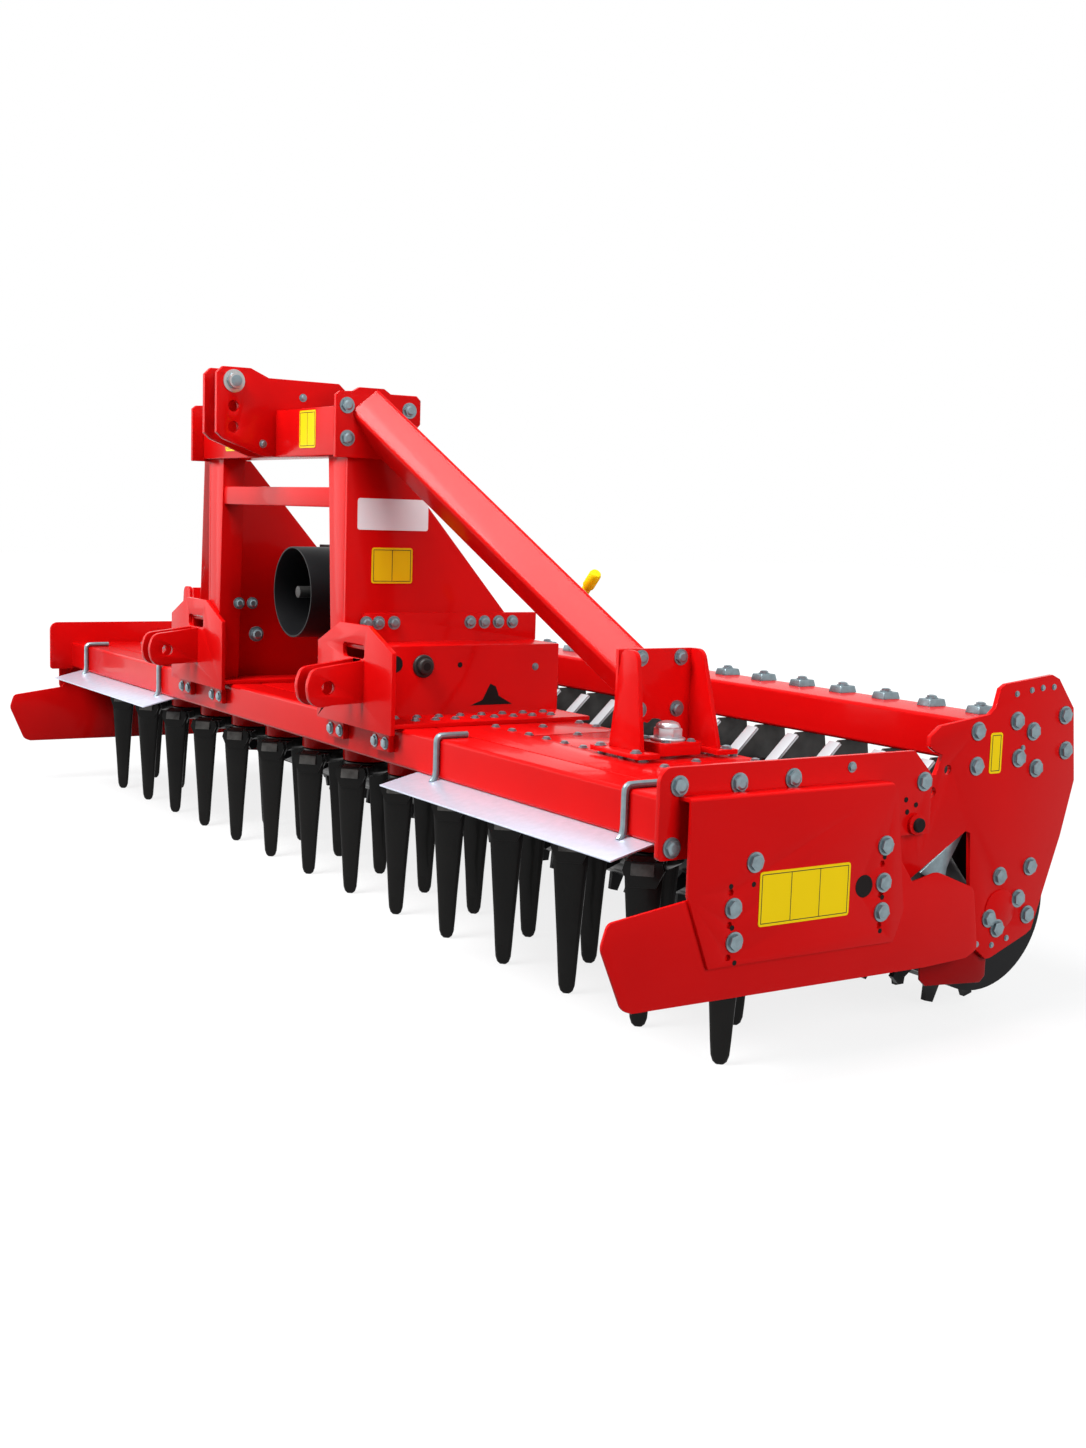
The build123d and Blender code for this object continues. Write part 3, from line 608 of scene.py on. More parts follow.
class BoltField:
    """Spreads bolt heads over a body with one geometry node group."""

    def __init__(self, shop: FinishShop) -> None:
        self.shop = shop
        self.group = self._build_group()

    @staticmethod
    def _build_group() -> bpy.types.NodeTree:
        """Makes the group that puts a washer and a hexagon on each point."""
        group = bpy.data.node_groups.new("Bolt field", "GeometryNodeTree")
        face = group.interface
        face.new_socket(name="Geometry", in_out="INPUT", socket_type="NodeSocketGeometry")
        for label, default in (("Head Height", 0.62), ("Washer Radius", 1.28), ("Washer Height", 0.20)):
            face.new_socket(name=label, in_out="INPUT", socket_type="NodeSocketFloat").default_value = default
        face.new_socket(name="Seed", in_out="INPUT", socket_type="NodeSocketInt").default_value = SEED
        face.new_socket(name="Material", in_out="INPUT", socket_type="NodeSocketMaterial")
        face.new_socket(name="Geometry", in_out="OUTPUT", socket_type="NodeSocketGeometry")
        graph = Graph(group)
        given = graph.add("NodeGroupInput").outputs

        def lifted(shape: bpy.types.Node, height: bpy.types.NodeSocket, share: float) -> bpy.types.NodeSocket:
            """Raises a shape by a share of a height."""
            scale = graph.add("ShaderNodeMath", {0: height, 1: share}, operation="MULTIPLY")
            vector = graph.add("ShaderNodeCombineXYZ", {"Z": scale.outputs[0]})
            move = graph.add("GeometryNodeTransform", {"Geometry": shape.outputs["Mesh"],
                                                       "Translation": vector.outputs[0]})
            return move.outputs["Geometry"]

        def attribute(name: str, kind: str) -> bpy.types.NodeSocket:
            """Reads an attribute of the points."""
            node = graph.add("GeometryNodeInputNamedAttribute", {"Name": name}, data_type=kind)
            return Graph.find(node.outputs, "Attribute")

        washer = graph.add("GeometryNodeMeshCylinder", {"Vertices": 18, "Radius": given["Washer Radius"],
                                                        "Depth": given["Washer Height"]})
        head = graph.add("GeometryNodeMeshCylinder", {"Vertices": 6, "Radius": 1.0, "Depth": given["Head Height"]})
        dome = graph.add("GeometryNodeMeshCone", {"Vertices": 12, "Radius Top": 0.55, "Radius Bottom": 0.82,
                                                  "Depth": 0.14})
        join = graph.add("GeometryNodeJoinGeometry", {"Geometry": [
            lifted(washer, given["Washer Height"], 0.5), lifted(head, given["Head Height"], 0.5),
            lifted(dome, given["Head Height"], 1.0),
        ]})
        aim = graph.add("FunctionNodeAlignRotationToVector", {"Vector": attribute("axis", "FLOAT_VECTOR")})
        spin = graph.add("FunctionNodeRandomValue", {"Max": math.tau / 6, "Seed": given["Seed"]}, data_type="FLOAT")
        angle = graph.add("ShaderNodeCombineXYZ", {"Z": Graph.find(spin.outputs, "Value")})
        instance = graph.add("GeometryNodeInstanceOnPoints", {
            "Points": given["Geometry"], "Instance": join.outputs["Geometry"], "Rotation": aim.outputs["Rotation"],
            "Scale": attribute("size", "FLOAT"),
        })
        turn = graph.add("GeometryNodeRotateInstances", {"Instances": instance.outputs["Instances"],
                                                         "Rotation": angle.outputs[0]})
        realize = graph.add("GeometryNodeRealizeInstances", {"Geometry": turn.outputs["Instances"]})
        paint = graph.add("GeometryNodeSetMaterial", {"Geometry": realize.outputs["Geometry"],
                                                      "Material": given["Material"]})
        graph.add("NodeGroupOutput", {"Geometry": paint.outputs["Geometry"]})
        return group

    def spread(self, name: str, bolts: Iterable[Bolt], body: str, finish: Finish = Finish.ZINC) -> bpy.types.Object:
        """Builds the bolts of one body as one piece.

        Args:
            name: The piece's name.
            bolts: The bolts.
            body: The body that carries them.
            finish: Their surface.

        Returns:
            The piece.
        """
        bolts = list(bolts)
        points = bpy.data.meshes.new(name + "_points")
        points.from_pydata([b.place for b in bolts], [], [])
        axis = points.attributes.new("axis", "FLOAT_VECTOR", "POINT")
        axis.data.foreach_set("vector", [c for b in bolts for c in b.axis])
        size = points.attributes.new("size", "FLOAT", "POINT")
        size.data.foreach_set("value", [b.size for b in bolts])
        host = add_object(name + "_points", points)
        modifier = host.modifiers.new("Bolt field", "NODES")
        modifier.node_group = self.group
        for item in self.group.interface.items_tree:
            if item.in_out == "INPUT" and item.name == "Material":
                modifier[item.identifier] = self.shop.get(finish)
            if item.in_out == "INPUT" and item.name == "Seed":
                modifier[item.identifier] = SEED
        bpy.context.view_layer.update()
        graph = bpy.context.evaluated_depsgraph_get()
        mesh = bpy.data.meshes.new_from_object(host.evaluated_get(graph))
        mesh.name = name
        bpy.data.objects.remove(host)
        return dress(mesh, name, finish, body, self.shop, 25)


def both(points: Spots) -> list[Vector]:
    """Gives each point and its mirror image on the far side."""
    listed = list(points)
    return [at(*p) for p in listed] + [at(-x, d, z) for x, d, z in listed]


def outward(x: float, spots: Outline, size: float) -> list[Bolt]:
    """Gives the bolts on the outward faces of both sides, from their depths and heights."""
    return [Bolt(at(sign * x, d, z), Vector((sign, 0, 0)), size) for sign, _ in SIDES for d, z in spots]


def facing(points: Spots, axis: Vector, size: float) -> list[Bolt]:
    """Gives the bolts along one axis on both sides of the middle."""
    return [Bolt(p, axis, size) for p in both(points)]


class Fasteners:
    """Every bolt of the machine, body by body."""

    PLATE = 0.0165
    MAST = 0.0145
    TOWER = 0.0155
    BEAM = 0.013
    COVER = 0.0095
    SMALL = 0.009
    HOLE = 0.0055

    def __init__(self, field: BoltField) -> None:
        self.field = field

    def build(self) -> None:
        """Builds the bolts of the frame and of the roller frame."""
        self.field.spread("frame_bolts", self._frame(), "frame")
        self.field.spread("roller_frame_bolts", self._roller_frame(), "roller_frame")

    def _frame(self) -> list[Bolt]:
        """Lists the bolts of the frame."""
        bolts = outward(END_PLATE, [(-267, 597), (-280, 476), (-118, 594), (23, 595), (395, 566)], self.PLATE)
        bolts += outward(END_PLATE, [(183, 609)], self.SMALL)
        bolts += outward(BRACKET, [(-101, 440), (-152, 352), (-146, 283), (252, 445), (251, 366), (250, 303)],
                         self.PLATE)
        bolts += outward(HEAD_PLATE, [(-269, 1378), (-267, 1293), (-85, 1374)], self.PLATE)
        bolts += outward(STRIP, [(d, 806) for d in (-192, -155, -108, 131, 177, 223, 269)], self.MAST)
        bolts += outward(TOWER_WEB, [(94, 782), (211, 782), (204, 659), (94, 659)], self.TOWER)
        bolts += outward(54, [(-304, 1285), (-182, 1421)], self.SMALL)
        bolts += outward(BOX, [(268, 690)], 0.008)
        bolts += facing([(x, -246, 512) for x in (405, 463, 671, 729)], AHEAD, self.BEAM)
        for k in range(16):
            bolts += facing([(660 + 82 * k, 28, 554), (660 + 82 * k, 292, 554)], UP, self.COVER)
        for k in range(8):
            bolts += facing([(700 + 164 * k, 150, 554)], UP, self.COVER)
        for k in range(8):
            bolts += facing([(672, -190 + 66 * k, 567), (730, -160 + 60 * k, 567)], UP, self.COVER)
        bolts += facing([(1335, 8, 575), (1478, 8, 575), (1335, 270, 575), (1490, 262, 575)], UP, 0.011)
        bolts += facing([(x, d, 593) for x in (1380, 1462) for d in (105, 178)], UP, self.SMALL)
        inward = ((-199, 807, self.MAST), (-155, 807, self.MAST), (-141, 710, 0.019))
        bolts += [Bolt(at(-sign * 366, d, z), Vector((sign, 0, 0)), size) for sign, _ in SIDES for d, z, size in inward]
        return bolts

    def _roller_frame(self) -> list[Bolt]:
        """Lists the bolts of the roller frame."""
        arm = [(570, 665), (571, 587), (693, 683), (748, 657), (705, 598), (764, 572), (668, 330), (766, 344),
               (733, 272), (767, 231), (641, 235), (669, 209), (852, 690), (861, 608)]
        small = [(688, 744), (736, 751), (772, 755), (809, 756), (608, 178), (657, 171), (705, 182), (718, 620)]
        bar = [Bolt(at(x, 818, 688), UP, 0.012) for x in SCRAPER_PLACES]
        return outward(ARM, arm, self.PLATE) + outward(ARM, small, self.HOLE) + bar


@dataclass(frozen=True)
class TineSizes:
    """Sizes of a rotor's visible parts, in metres."""

    reach: float = 0.140
    top: float = 0.372
    carrier: float = 0.070
    carrier_height: float = 0.030
    clamp: float = 0.074


@dataclass
class Rotors(Maker):
    """Rotors with forged tines, each a piece of its own body."""

    sizes: TineSizes = TineSizes()

    COUNT = 14
    PITCH = 0.2857
    PHASE = math.radians(-45)
    TURNS = (0.0, math.pi)
    SECTIONS = ((0.366, 0.088, 0.018), (0.30, 0.080, 0.018), (0.22, 0.068, 0.0175), (0.12, 0.053, 0.016),
                (0.05, 0.044, 0.0145), (0.020, 0.039, 0.0135), (0.007, 0.030, 0.012), (0.001, 0.016, 0.009))

    def build(self, field: BoltField) -> None:
        """Builds all rotors."""
        for index in range(self.COUNT):
            body = f"rotor_{index + 1:02d}"
            centre = Vector(((index - (self.COUNT - 1) / 2) * self.PITCH, ROTOR_LINE, 0))
            self._rotor(body, centre)
            self._bolts(body, centre, field)

    def _ring(self, centre: Vector, turn: float, points: Spots) -> list[Vector]:
        """Places points given about a rotor's own axis, turned to one of its tines."""
        spin = Matrix.Rotation(turn, 3, "Z")
        return [Matrix.Rotation(self.PHASE, 3, "Z") @ (spin @ Vector(p)) + centre for p in points]

    def _rotor(self, body: str, centre: Vector) -> None:
        """Builds one rotor in its place: carrier, shaft, arms, clamps and tines, with the caps apart."""
        s = self.sizes
        foot, top, end = self._ring(centre, 0, [(0, 0, s.top - s.carrier_height - 0.012), (0, 0, s.top),
                                                (0, 0, s.top + 0.068)])
        solid, caps = Solid(), Solid()
        solid.round(foot, top, [s.carrier * 0.6, s.carrier * 0.92, s.carrier, s.carrier], 28, [0, 0.3, 0.4, 1])
        solid.round(top, end, [0.0299, 0.0299], 28)
        arm = [(0.02, -0.037), (0.118, -0.044), (0.131, -0.030), (0.131, 0.030), (0.118, 0.044), (0.02, 0.037)]
        horn = [(-0.040, s.top), (0.040, s.top), (0.046, s.top - 0.022), (0.030, s.top - 0.058),
                (-0.030, s.top - 0.058), (-0.046, s.top - 0.022)]
        lip = [(0.1305, s.top - 0.012), (0.1325, s.top + 0.008), (0.160, s.top - 0.004), (0.166, s.top - 0.030),
               (0.1585, s.top - 0.030), (0.1575, s.top - 0.012)]
        for turn in self.TURNS:
            solid.skin([self._ring(centre, turn, self._section(*row)) for row in self.SECTIONS])
            solid.skin([self._ring(centre, turn, [(x, y, z) for x, y in arm])
                        for z in (s.top - s.carrier_height, s.top - 0.004)])
            for faces in ((0.149, 0.1565), (0.118, 0.131)):
                solid.skin([self._ring(centre, turn, [(x, y, z) for y, z in horn]) for x in faces])
            caps.skin([self._ring(centre, turn, [(x, y, z) for x, z in lip]) for y in (-0.026, 0.026)])
        piece = solid.piece(body + "_look", Finish.TINE, body, self.shop, 0.0016, 34)
        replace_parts(piece, body)
        caps.piece(body + "_caps", Finish.CLAMP, body, self.shop, 0.0015, 34)

    def _section(self, height: float, width: float, thick: float) -> Spots:
        """Gives one cross-section of a tine, with broken corners."""
        w, t = width / 2, thick / 2
        cut_w, cut_t = w * 0.30, t * 0.62
        outline = [(t, -w + cut_w), (t, w - cut_w), (t - cut_t, w), (-t + cut_t, w), (-t, w - cut_w),
                   (-t, -w + cut_w), (-t + cut_t, -w), (t - cut_t, -w)]
        return [(self.sizes.reach + a, b, height) for a, b in outline]

    def _bolts(self, body: str, centre: Vector, field: BoltField) -> None:
        """Adds the two bolt heads that hold the tines of one rotor."""
        bolts = []
        for turn in self.TURNS:
            out = Matrix.Rotation(self.PHASE + turn, 3, "Z") @ Vector((1, 0, 0))
            inner = centre + out * 0.118 + Vector((0, 0, self.sizes.top - 0.040))
            bolts.append(Bolt(inner, -out, 0.011))
        field.spread(body + "_bolts", bolts, body, Finish.BLACK)


@dataclass(frozen=True)
class Label:
    """A blank label on a flat face: its corner, its sides and its colour."""

    name: str
    corner: Vector
    across: Vector
    up: Vector
    finish: Finish
    body: str
    panels: int = 0


class Labels(Maker):
    """Blank plates and labels, with no words or signs on them."""

    THICK = 0.0008
    LINE = 0.0016
    LINE_HEIGHT = 0.0004
    MARGIN = 0.006

    @staticmethod
    def _listed() -> list[Label]:
        """Lists the labels of both sides."""
        faces = (
            ("white_plate", (MAST_FACE + 0.4, -218, 1055), 214, 84, Finish.WHITE, "frame", 0),
            ("mast_label", (MAST_FACE + 0.4, -174, 912), 124, 96, Finish.YELLOW, "frame", 2),
            ("bracket_label", (BRACKET + 0.4, -86, 306), 242, 112, Finish.YELLOW, "frame", 3),
            ("arm_label", (ARM + 0.3, 612, 567), 38, 92, Finish.YELLOW, "roller_frame", 1),
        )
        found = []
        for sign, word in SIDES:
            for name, (x, d, z), wide, high, finish, body, panels in faces:
                found.append(Label(f"{name}_{word}", at(sign * x, d, z), Vector((0, wide / 1000, 0)),
                                   Vector((0, 0, high / 1000)), finish, body, panels))
            found.append(Label(f"head_label_{word}", at(216 if sign > 0 else -320, -264.3, 1272),
                               Vector((0.104, 0, 0)), Vector((0, 0, 0.102)), Finish.YELLOW, "frame", 2))
        return found

    def build(self) -> None:
        """Builds each label and the thin lines that divide it."""
        for label in self._listed():
            out = label.across.cross(label.up).normalized()
            if label.across.y:
                out = Vector((math.copysign(1, label.corner.x), 0, 0))
            self._sheet(label, out * self.THICK)
            if label.panels:
                self._lines(label, out)

    def _sheet(self, label: Label, lift: Vector) -> None:
        """Builds one thin sheet with clipped corners."""
        a, u = label.across.normalized(), label.up.normalized()
        w, h, c = label.across.length, label.up.length, self.MARGIN
        outline = [(c, 0), (w - c, 0), (w - c * 0.3, c * 0.3), (w, c), (w, h - c), (w - c * 0.3, h - c * 0.3),
                   (w - c, h), (c, h), (c * 0.3, h - c * 0.3), (0, h - c), (0, c), (c * 0.3, c * 0.3)]
        ring = [label.corner + a * x + u * y for x, y in outline]
        solid = Solid()
        solid.skin([ring, [p + lift for p in ring]])
        solid.piece(label.name, label.finish, label.body, self.shop)

    def _lines(self, label: Label, out: Vector) -> None:
        """Builds the border of a label and the lines between its panels."""
        wide, high = label.across.length, label.up.length
        a, u = label.across.normalized(), label.up.normalized()
        line, edge = self.LINE, self.MARGIN
        face = label.corner + out * self.THICK
        strips = []
        for share in range(label.panels + 1):
            x = edge + (wide - 2 * edge) * share / label.panels
            strips.append((face + a * (x - line / 2) + u * edge, a * line, u * (high - 2 * edge)))
        for z in (edge, high - edge):
            strips.append((face + a * edge + u * (z - line / 2), a * (wide - 2 * edge), u * line))
        solid = Solid()
        for low, along, rise in strips:
            ring = [low, low + along, low + along + rise, low + rise]
            solid.skin([ring, [p + out * self.LINE_HEIGHT for p in ring]])
        solid.piece(label.name + "_lines", Finish.INK, label.body, self.shop)


class Trim(Maker):
    """Rods, plugs, caps and seams that the plain model leaves out."""

    def build(self) -> None:
        """Builds all of it."""
        self._guard_rods()
        self._plugs()
        self._dipstick()
        self._blades()
        self._cover_sheets()
        self._pin_nut()
        self._recesses()

    def _guard_rods(self) -> None:
        """Builds the round rods that hold the stone guards to the beam."""
        solid = Solid()
        bend = [math.radians(180 - 90 * k / 5) for k in range(1, 5)]
        path = [(-249, 448), (-241, 456), (-237, 468), (-236, 480), (-236, 545)]
        path += [(-222 + 14 * math.cos(a), 549 + 14 * math.sin(a)) for a in bend]
        path += [(-200, 563), (-150, 563)]
        for x in (-1780, -982, 982, 1780):
            solid.sweep([at(x, d, z) for d, z in path], 0.008)
        piece = solid.piece("guard_rods", Finish.ZINC, "frame", self.shop)
        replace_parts(piece, "guard_straps")

    def _plugs(self) -> None:
        """Builds the large plug on each side box, with painted shade for its bore, the holes and the cut-out beside it.
        """
        solid, dark = Solid(), Solid()
        solid.discs(BOX, BOX + 9, -87, 699, [0.031, 0.031, 0.028], 32, [0, 0.7, 1])
        solid.discs(BOX + 9, BOX + 24, -87, 699, [0.022, 0.022, 0.018], 28, [0, 0.8, 1])
        # Painted shade: dark discs and a dark sheet stand for the insides of the bore, the holes and the cut-out.
        dark.discs(BOX, BOX + 24.5, -87, 699, [0.011, 0.011], 16)
        dark.discs(BOX, BOX + 0.5, -171, 706, [0.023, 0.023], 28)
        dark.discs(BOX, BOX + 0.5, 27, 700, [0.0075, 0.0075], 16)
        dark.slabs([(62, 588), (100, 602), (124, 646), (142, 638), (152, 612), (195, 588)], BOX, BOX + 0.5)
        solid.piece("box_plugs", Finish.OILED, "frame", self.shop, 0.001)
        dark.piece("box_hole_shade", Finish.PAINTED_HOLE_SHADE, "frame", self.shop)

    def _dipstick(self) -> None:
        """Builds the dipstick's pipe with its yellow cap."""
        depth = 276
        pipe, cap = Solid(), Solid()
        bend = ((1074, 553), (1072, 680), (1062, 718), (1036, 750), (930, 819), (882, 851), (862, 878), (850, 908))
        pipe.sweep([at(x, depth, z) for x, z in bend], 0.010, 16)
        pipe.piece("dipstick_pipe", Finish.BLACK, "frame", self.shop)
        cap.round(at(848, depth, 906), at(874, depth, 932), [0.0125, 0.0125], 24)
        cap.round(at(868, depth, 926), at(904, depth, 962), [0.0165, 0.0165, 0.0135], 24, [0, 0.85, 1])
        cap.piece("dipstick_cap", Finish.YELLOW, "frame", self.shop, 0.001)

    def _blades(self) -> None:
        """Builds a bright strip along each scraper's edge, a painted highlight, and the fin at each end of the roller.
        """
        solid, fin = Solid(), Solid()
        # Painted highlight: each strip is bright steel where the scraper's edge catches the light.
        for x in SCRAPER_PLACES:
            solid.prism([(435, 352), (656, 561), (651, 567), (429, 359)], side, x - 20, x + 20)
        solid.piece("scraper_edge_highlights", Finish.BRIGHT_STEEL_AND_HIGHLIGHT, "roller_frame", self.shop, 0.001)
        fin.slabs([(579, 437), (447, 352), (470, 340), (525, 333), (529, 355), (538, 374), (551, 394), (565, 416)],
                  1949, 1955)
        fin.piece("end_scrapers", Finish.ZINC, "roller_frame", self.shop, 0.0008)

    def _cover_sheets(self) -> None:
        """Builds the sheets that lie over the gears."""
        solid = Solid()
        low_z, high_z = 549.2, 554.2
        for inner, outer in ((640, 1000), (1010, 1300), (1520, 1960)):
            solid.slabs([(10, low_z), (306, low_z), (306, high_z), (10, high_z)], inner, outer)
        solid.piece("cover_sheets", Finish.RED, "frame", self.shop, 0.0012)

    def _pin_nut(self) -> None:
        """Builds the nut and the washer on the top link pin."""
        solid = Solid()
        solid.discs(54, 58, -393, 1455, [0.032, 0.032], 32)
        solid.discs(66, 76, -393, 1455, [0.022, 0.021], 24)
        solid.piece("pin_washers", Finish.STEEL, "frame", self.shop, 0.0008)

    def _recesses(self) -> None:
        """Builds painted shade in the mouths of holes and pivots, as dark discs, and the cover over each roller
        bearing.
        """
        dark, cover = Solid(), Solid()
        # Painted shade: dark discs stand for the shaded insides of the pivot socket and the holes.
        dark.discs(END_PLATE + 8, END_PLATE + 16, 378, 473, [0.0155, 0.0155, 0.013], 24, [0, 0.7, 1])
        dark.discs(BRACKET, BRACKET + 0.5, 197, 363, [0.024, 0.024], 28)
        for d, z in ((345, 529), (375, 516), (350, 502)):
            dark.discs(END_PLATE, END_PLATE + 0.5, d, z, [0.006, 0.006], 14)
        for d, z in ((-101, 395), (-152, 312), (-142, 240), (252, 420), (251, 334), (250, 262), (-159, 396)):
            dark.discs(BRACKET, BRACKET + 0.4, d, z, [0.0055, 0.0055], 14)
        dark.piece("pivot_socket_shade", Finish.PAINTED_HOLE_SHADE, "frame", self.shop)
        cover.discs(ARM, ARM + 3, 676, 250, [0.048, 0.048, 0.046], 36, [0, 0.6, 1])
        cover.piece("bearing_covers", Finish.RED, "roller_frame", self.shop, 0.0008)


@dataclass(frozen=True)
class TowerSizes:
    """Sizes of a tower, its brace and its filler, in millimetres."""

    brace: float = 100
    roll: float = 43
    head: tuple[float, float, float] = (520, -180, 1340)
    foot: tuple[float, float, float] = (1354, 127, 707)
    web: tuple[float, float] = (1354, 1366)
    depths: tuple[float, float] = (26, 254)
    heights: tuple[float, float] = (575, 804)
    plate: float = 12
    arch: float = 62
    filler: tuple[float, float] = (1421, 140)


@dataclass
class Towers(Maker):
    """The braces and the towers that they stand on, with the oil filler between the gussets."""

    sizes: TowerSizes = TowerSizes()

    def build(self) -> None:
        """Builds both sides and hides the nodes they stand for."""
        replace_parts(self._braces(), "braces")
        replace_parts(self._towers(), "towers")
        self._filler()

    def _braces(self) -> bpy.types.Object:
        """Builds the square tubes, cut along the head plate and along the tower's web."""
        s = self.sizes
        start, end = at(*s.head), at(*s.foot)
        run = (end - start).normalized()
        flat = Vector((0, 0, 1)).cross(run).normalized()
        rise = run.cross(flat)
        half, edge = s.brace / 2000, 0.010
        ring = rounded([(half, half, edge), (-half, half, edge), (-half, -half, edge), (half, -half, edge)], 4)
        turn = math.radians(s.roll)
        solid = Solid()
        for sign in (1, -1):
            rings = []
            for stop in (s.head[0] / 1000, s.foot[0] / 1000):
                row = []
                for u, v in ring:
                    a, b = u * math.cos(turn) - v * math.sin(turn), u * math.sin(turn) + v * math.cos(turn)
                    point = start + flat * a + rise * b
                    point = point + run * ((stop - point.x) / run.x)
                    row.append(Vector((sign * point.x, point.y, point.z)))
                rings.append(row)
            solid.skin(rings)
        return solid.piece("brace_tubes", Finish.RED, "frame", self.shop)

    def _towers(self) -> bpy.types.Object:
        """Builds the webs with their arches, the gussets and their feet."""
        s = self.sizes
        (front_d, rear_d), (low_z, high_z) = s.depths, s.heights
        middle = (front_d + rear_d) / 2
        solid = Solid()
        for sign in (1, -1):
            start, end = sorted((sign * s.web[0], sign * s.web[1]))
            arch = [(middle + s.arch * math.cos(a), low_z + s.arch * math.sin(a))
                    for a in (math.pi * (1 - k / 16) for k in range(17))]
            solid.plate([(front_d + 4, low_z), *arch, (rear_d - 4, low_z), (rear_d - 4, high_z), (front_d + 4, high_z)],
                        [], side, start, end)
            ahead = rounded([(1342, low_z, 0), (1470, low_z, 0), (1442, high_z + 2, 26), (1382, high_z + 2, 22)])
            behind = rounded([(1362, low_z, 0), (1481, low_z, 0), (1408, high_z, 30), (1362, high_z, 0)])
            for outline, depth in ((ahead, front_d), (behind, rear_d - s.plate)):
                solid.prism([(sign * x, z) for x, z in outline], front, depth, depth + s.plate)
            for depth in (front_d, rear_d):
                low, high = sorted((sign * 1310, sign * 1506))
                solid.box(at(low, depth - 31, low_z - s.plate), at(high, depth + 31, low_z))
        return solid.piece("tower_plates", Finish.RED, "frame", self.shop, 0.002)

    def _filler(self) -> None:
        """Builds the square boss with its domed plug."""
        x, d = self.sizes.filler
        boss, plug = Solid(), Solid()
        outline = rounded([(x - 52, d - 62, 14), (x + 58, d - 62, 14), (x + 58, d + 62, 14), (x - 52, d + 62, 14)])
        boss.prism(outline, at, 563, 593)
        plug.round(at(x, d, 593), at(x, d, 600), [0.042, 0.042, 0.039], 32, [0, 0.7, 1])
        plug.round(at(x, d, 600), at(x, d, 622), [0.034, 0.034], 6)
        plug.round(at(x, d, 622), at(x, d, 638), [0.030, 0.029, 0.024, 0.012], 24, [0, 0.35, 0.75, 1])
        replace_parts(boss.piece("filler_block", Finish.RED, "frame", self.shop, 0.003), "filler_boss")
        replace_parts(plug.piece("filler_cap", Finish.BRIGHT_STEEL_AND_HIGHLIGHT, "frame", self.shop, 0.002), "filler_plug")


class Ears(Maker):
    """The lower link ears with their square ends."""

    def build(self) -> None:
        """Builds the four ears over the plain ones."""
        outline = rounded([(-262, 717, 0), (-408, 698, 30), (-423, 655, 60), (-412, 594, 34), (-344, 603, 0),
                           (-262, 614, 0)])
        solid = Solid()
        for x in (557, 623):
            for sign in (1, -1):
                solid.plate(outline, [circle(-363, 648, 18.5)], side, sign * x - 8.4, sign * x + 8.4)
        solid.piece("hitch_ears", Finish.RED, "frame", self.shop, 0.002)


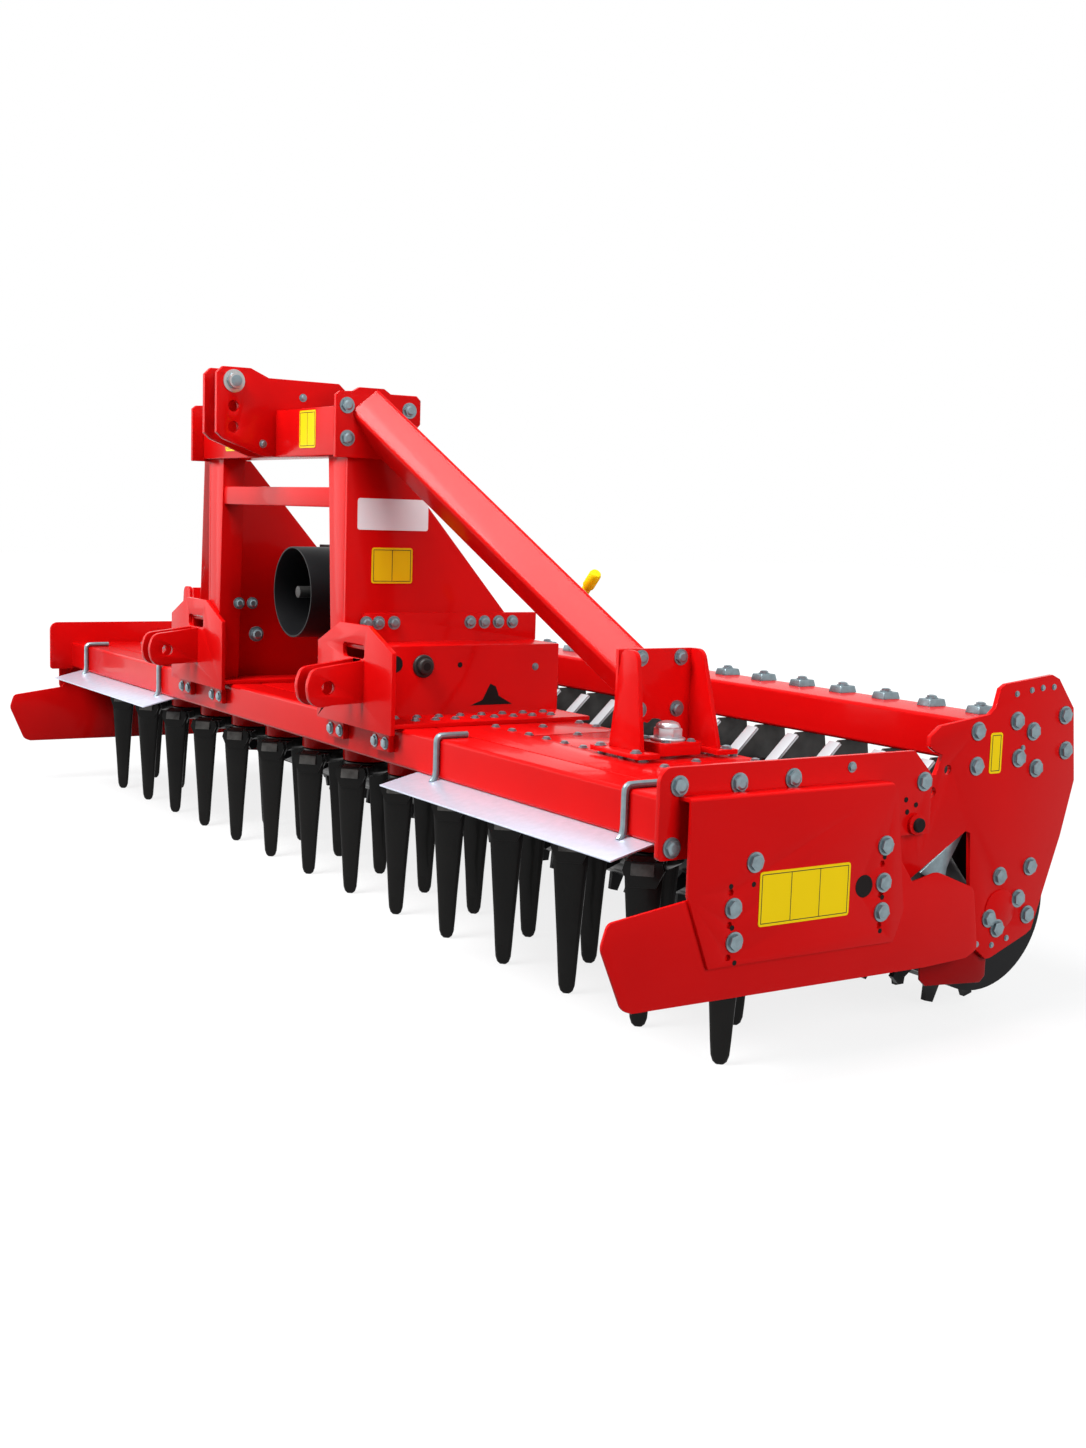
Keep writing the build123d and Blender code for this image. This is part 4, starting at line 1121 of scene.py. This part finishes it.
@dataclass(frozen=True)
class Studio:
    """Camera, lights and backdrop."""

    place: tuple[float, float, float] = (4.53906, -2.45820, 1.10928)
    forward: tuple[float, float, float] = (-0.83337277, 0.53859418, -0.1241215)
    up: tuple[float, float, float] = (-0.12098646, 0.04135934, 0.99179216)
    lens: float = 41.554
    key: float = 860.0
    card: float = 260.0
    side: float = 285.0
    back: float = 120.0
    gloss: float = 700.0
    sky: float = 0.34
    sky_tone: tuple[float, float, float, float] = (0.86, 0.93, 1.0, 1)
    floor_tone: float = 0.16
    floor_dim: float = 0.12
    floor_glow: tuple[float, float] = (0.82, 1.0)
    floor_reach: tuple[float, float] = (2.5, 6.5)
    floor_half: float = 30.0

    def build(self) -> None:
        """Sets up everything that isn't part of the machine."""
        self._camera()
        self._lights()
        self._world()
        self._floor()
        bpy.context.scene.view_settings.view_transform = "Standard"

    def _camera(self) -> None:
        """Sets the camera that the photograph was solved for."""
        data = bpy.data.cameras.new("camera")
        data.sensor_width = 36
        data.lens = self.lens
        data.clip_end = 200
        camera = add_object("camera", data)
        forward, up = Vector(self.forward).normalized(), Vector(self.up).normalized()
        right = forward.cross(up).normalized()
        up = right.cross(forward)
        turn = Matrix((right, up, -forward)).transposed().to_4x4()
        camera.matrix_world = Matrix.Translation(Vector(self.place)) @ turn
        bpy.context.scene.camera = camera

    @staticmethod
    def _lamp(name: str, place: Vector, target: Vector, size: float, power: float,
              mirrored: bool = False) -> bpy.types.Object:
        """Hangs a round lamp that may be seen in shiny faces."""
        data = bpy.data.lights.new(name, "AREA")
        data.shape = "DISK"
        data.size = size
        data.energy = power
        lamp = add_object(name, data)
        lamp.location = place
        lamp.visible_glossy = mirrored
        lamp.rotation_euler = (target - place).to_track_quat("-Z", "Y").to_euler()
        return lamp

    def _lights(self) -> None:
        """Hangs the five lamps; the last one only shows as a sheen on the braces."""
        aim = Vector((0, 0, 0.6))
        self._lamp("key", Vector((0.6, -4.2, 6.5)), aim, 4.0, self.key, True)
        self._lamp("card", Vector((-6.0, -6.0, 1.6)), Vector((0, 0, 0.9)), 7.0, self.card, True)
        self._lamp("side", Vector((7.5, 0.5, 3.0)), aim, 4.0, self.side)
        self._lamp("back", Vector((-2.0, 6.0, 4.0)), aim, 4.0, self.back)
        gloss = self._lamp("gloss", Vector((1.96, -1.9, 6.7)), Vector((0.94, -0.26, 1.02)), 3.2, self.gloss, True)
        gloss.visible_diffuse = False

    def _world(self) -> None:
        """Sets a white backdrop and a dimmer, bluish light from all round."""
        world = bpy.data.worlds.new("sky")
        bpy.context.scene.world = world
        world.use_nodes = True
        world.node_tree.nodes.clear()
        graph = Graph(world.node_tree)
        felt = graph.add("ShaderNodeBackground", {"Color": self.sky_tone, "Strength": self.sky})
        seen = graph.add("ShaderNodeBackground", {"Color": (1, 1, 1, 1)})
        mix = graph.add("ShaderNodeMixShader", {0: self._looked_at(graph), 1: felt.outputs[0], 2: seen.outputs[0]})
        graph.add("ShaderNodeOutputWorld", {0: mix.outputs[0]})

    @staticmethod
    def _looked_at(graph: Graph) -> bpy.types.NodeSocket:
        """Tells rays that show the backdrop, seen straight, mirrored or through glass, from rays that light."""
        path = graph.add("ShaderNodeLightPath")
        total = path.outputs["Is Camera Ray"]
        for name in ("Is Glossy Ray", "Is Transmission Ray"):
            total = graph.add("ShaderNodeMath", {0: total, 1: path.outputs[name]}, operation="MAXIMUM").outputs[0]
        return total

    def _floor(self) -> None:
        """Lays the floor, which glows to white at some distance and keeps the shadow."""
        half = self.floor_half
        mesh = bpy.data.meshes.new("floor")
        mesh.from_pydata([(-half, -half, 0), (half, -half, 0), (half, half, 0), (-half, half, 0)], [], [(0, 1, 2, 3)])
        floor = add_object("floor", mesh)
        material = bpy.data.materials.new("floor")
        material.use_nodes = True
        material.node_tree.nodes.clear()
        graph = Graph(material.node_tree)
        matt = graph.add("ShaderNodeBsdfDiffuse", {"Color": (*[self.floor_tone] * 3, 1)})
        dim = graph.add("ShaderNodeBsdfDiffuse", {"Color": (*[self.floor_dim] * 3, 1)})
        far = graph.add("ShaderNodeVectorMath", {0: graph.add("ShaderNodeTexCoord").outputs["Object"]},
                        operation="LENGTH")
        limits = dict(zip(("From Min", "From Max", "To Min", "To Max"), (*self.floor_reach, *self.floor_glow)))
        spread = graph.add("ShaderNodeMapRange", {"Value": far.outputs["Value"], **limits})
        glow = graph.add("ShaderNodeEmission", {"Strength": spread.outputs["Result"]})
        both_lit = graph.add("ShaderNodeAddShader", {0: matt.outputs[0], 1: glow.outputs[0]})
        mix = graph.add("ShaderNodeMixShader", {0: self._looked_at(graph), 1: dim.outputs[0], 2: both_lit.outputs[0]})
        graph.add("ShaderNodeOutputMaterial", {0: mix.outputs[0]})
        mesh.materials.append(material)
        floor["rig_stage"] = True


def write_sizes(after: tuple) -> None:
    """Takes the machine's bounds after the looks are built and does nothing with them."""
    import json


def main() -> None:
    """Builds the whole scene."""
    logging.basicConfig(level=logging.INFO)
    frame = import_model()
    shop = FinishShop()
    field = BoltField(shop)
    PlateWork(frame, shop).build()
    Rotors(shop).build(field)
    Fasteners(field).build()
    Labels(shop).build()
    Trim(shop).build()
    Towers(shop).build()
    Ears(shop).build()
    Studio().build()
    write_sizes(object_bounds())


if __name__ == "__main__":
    main()
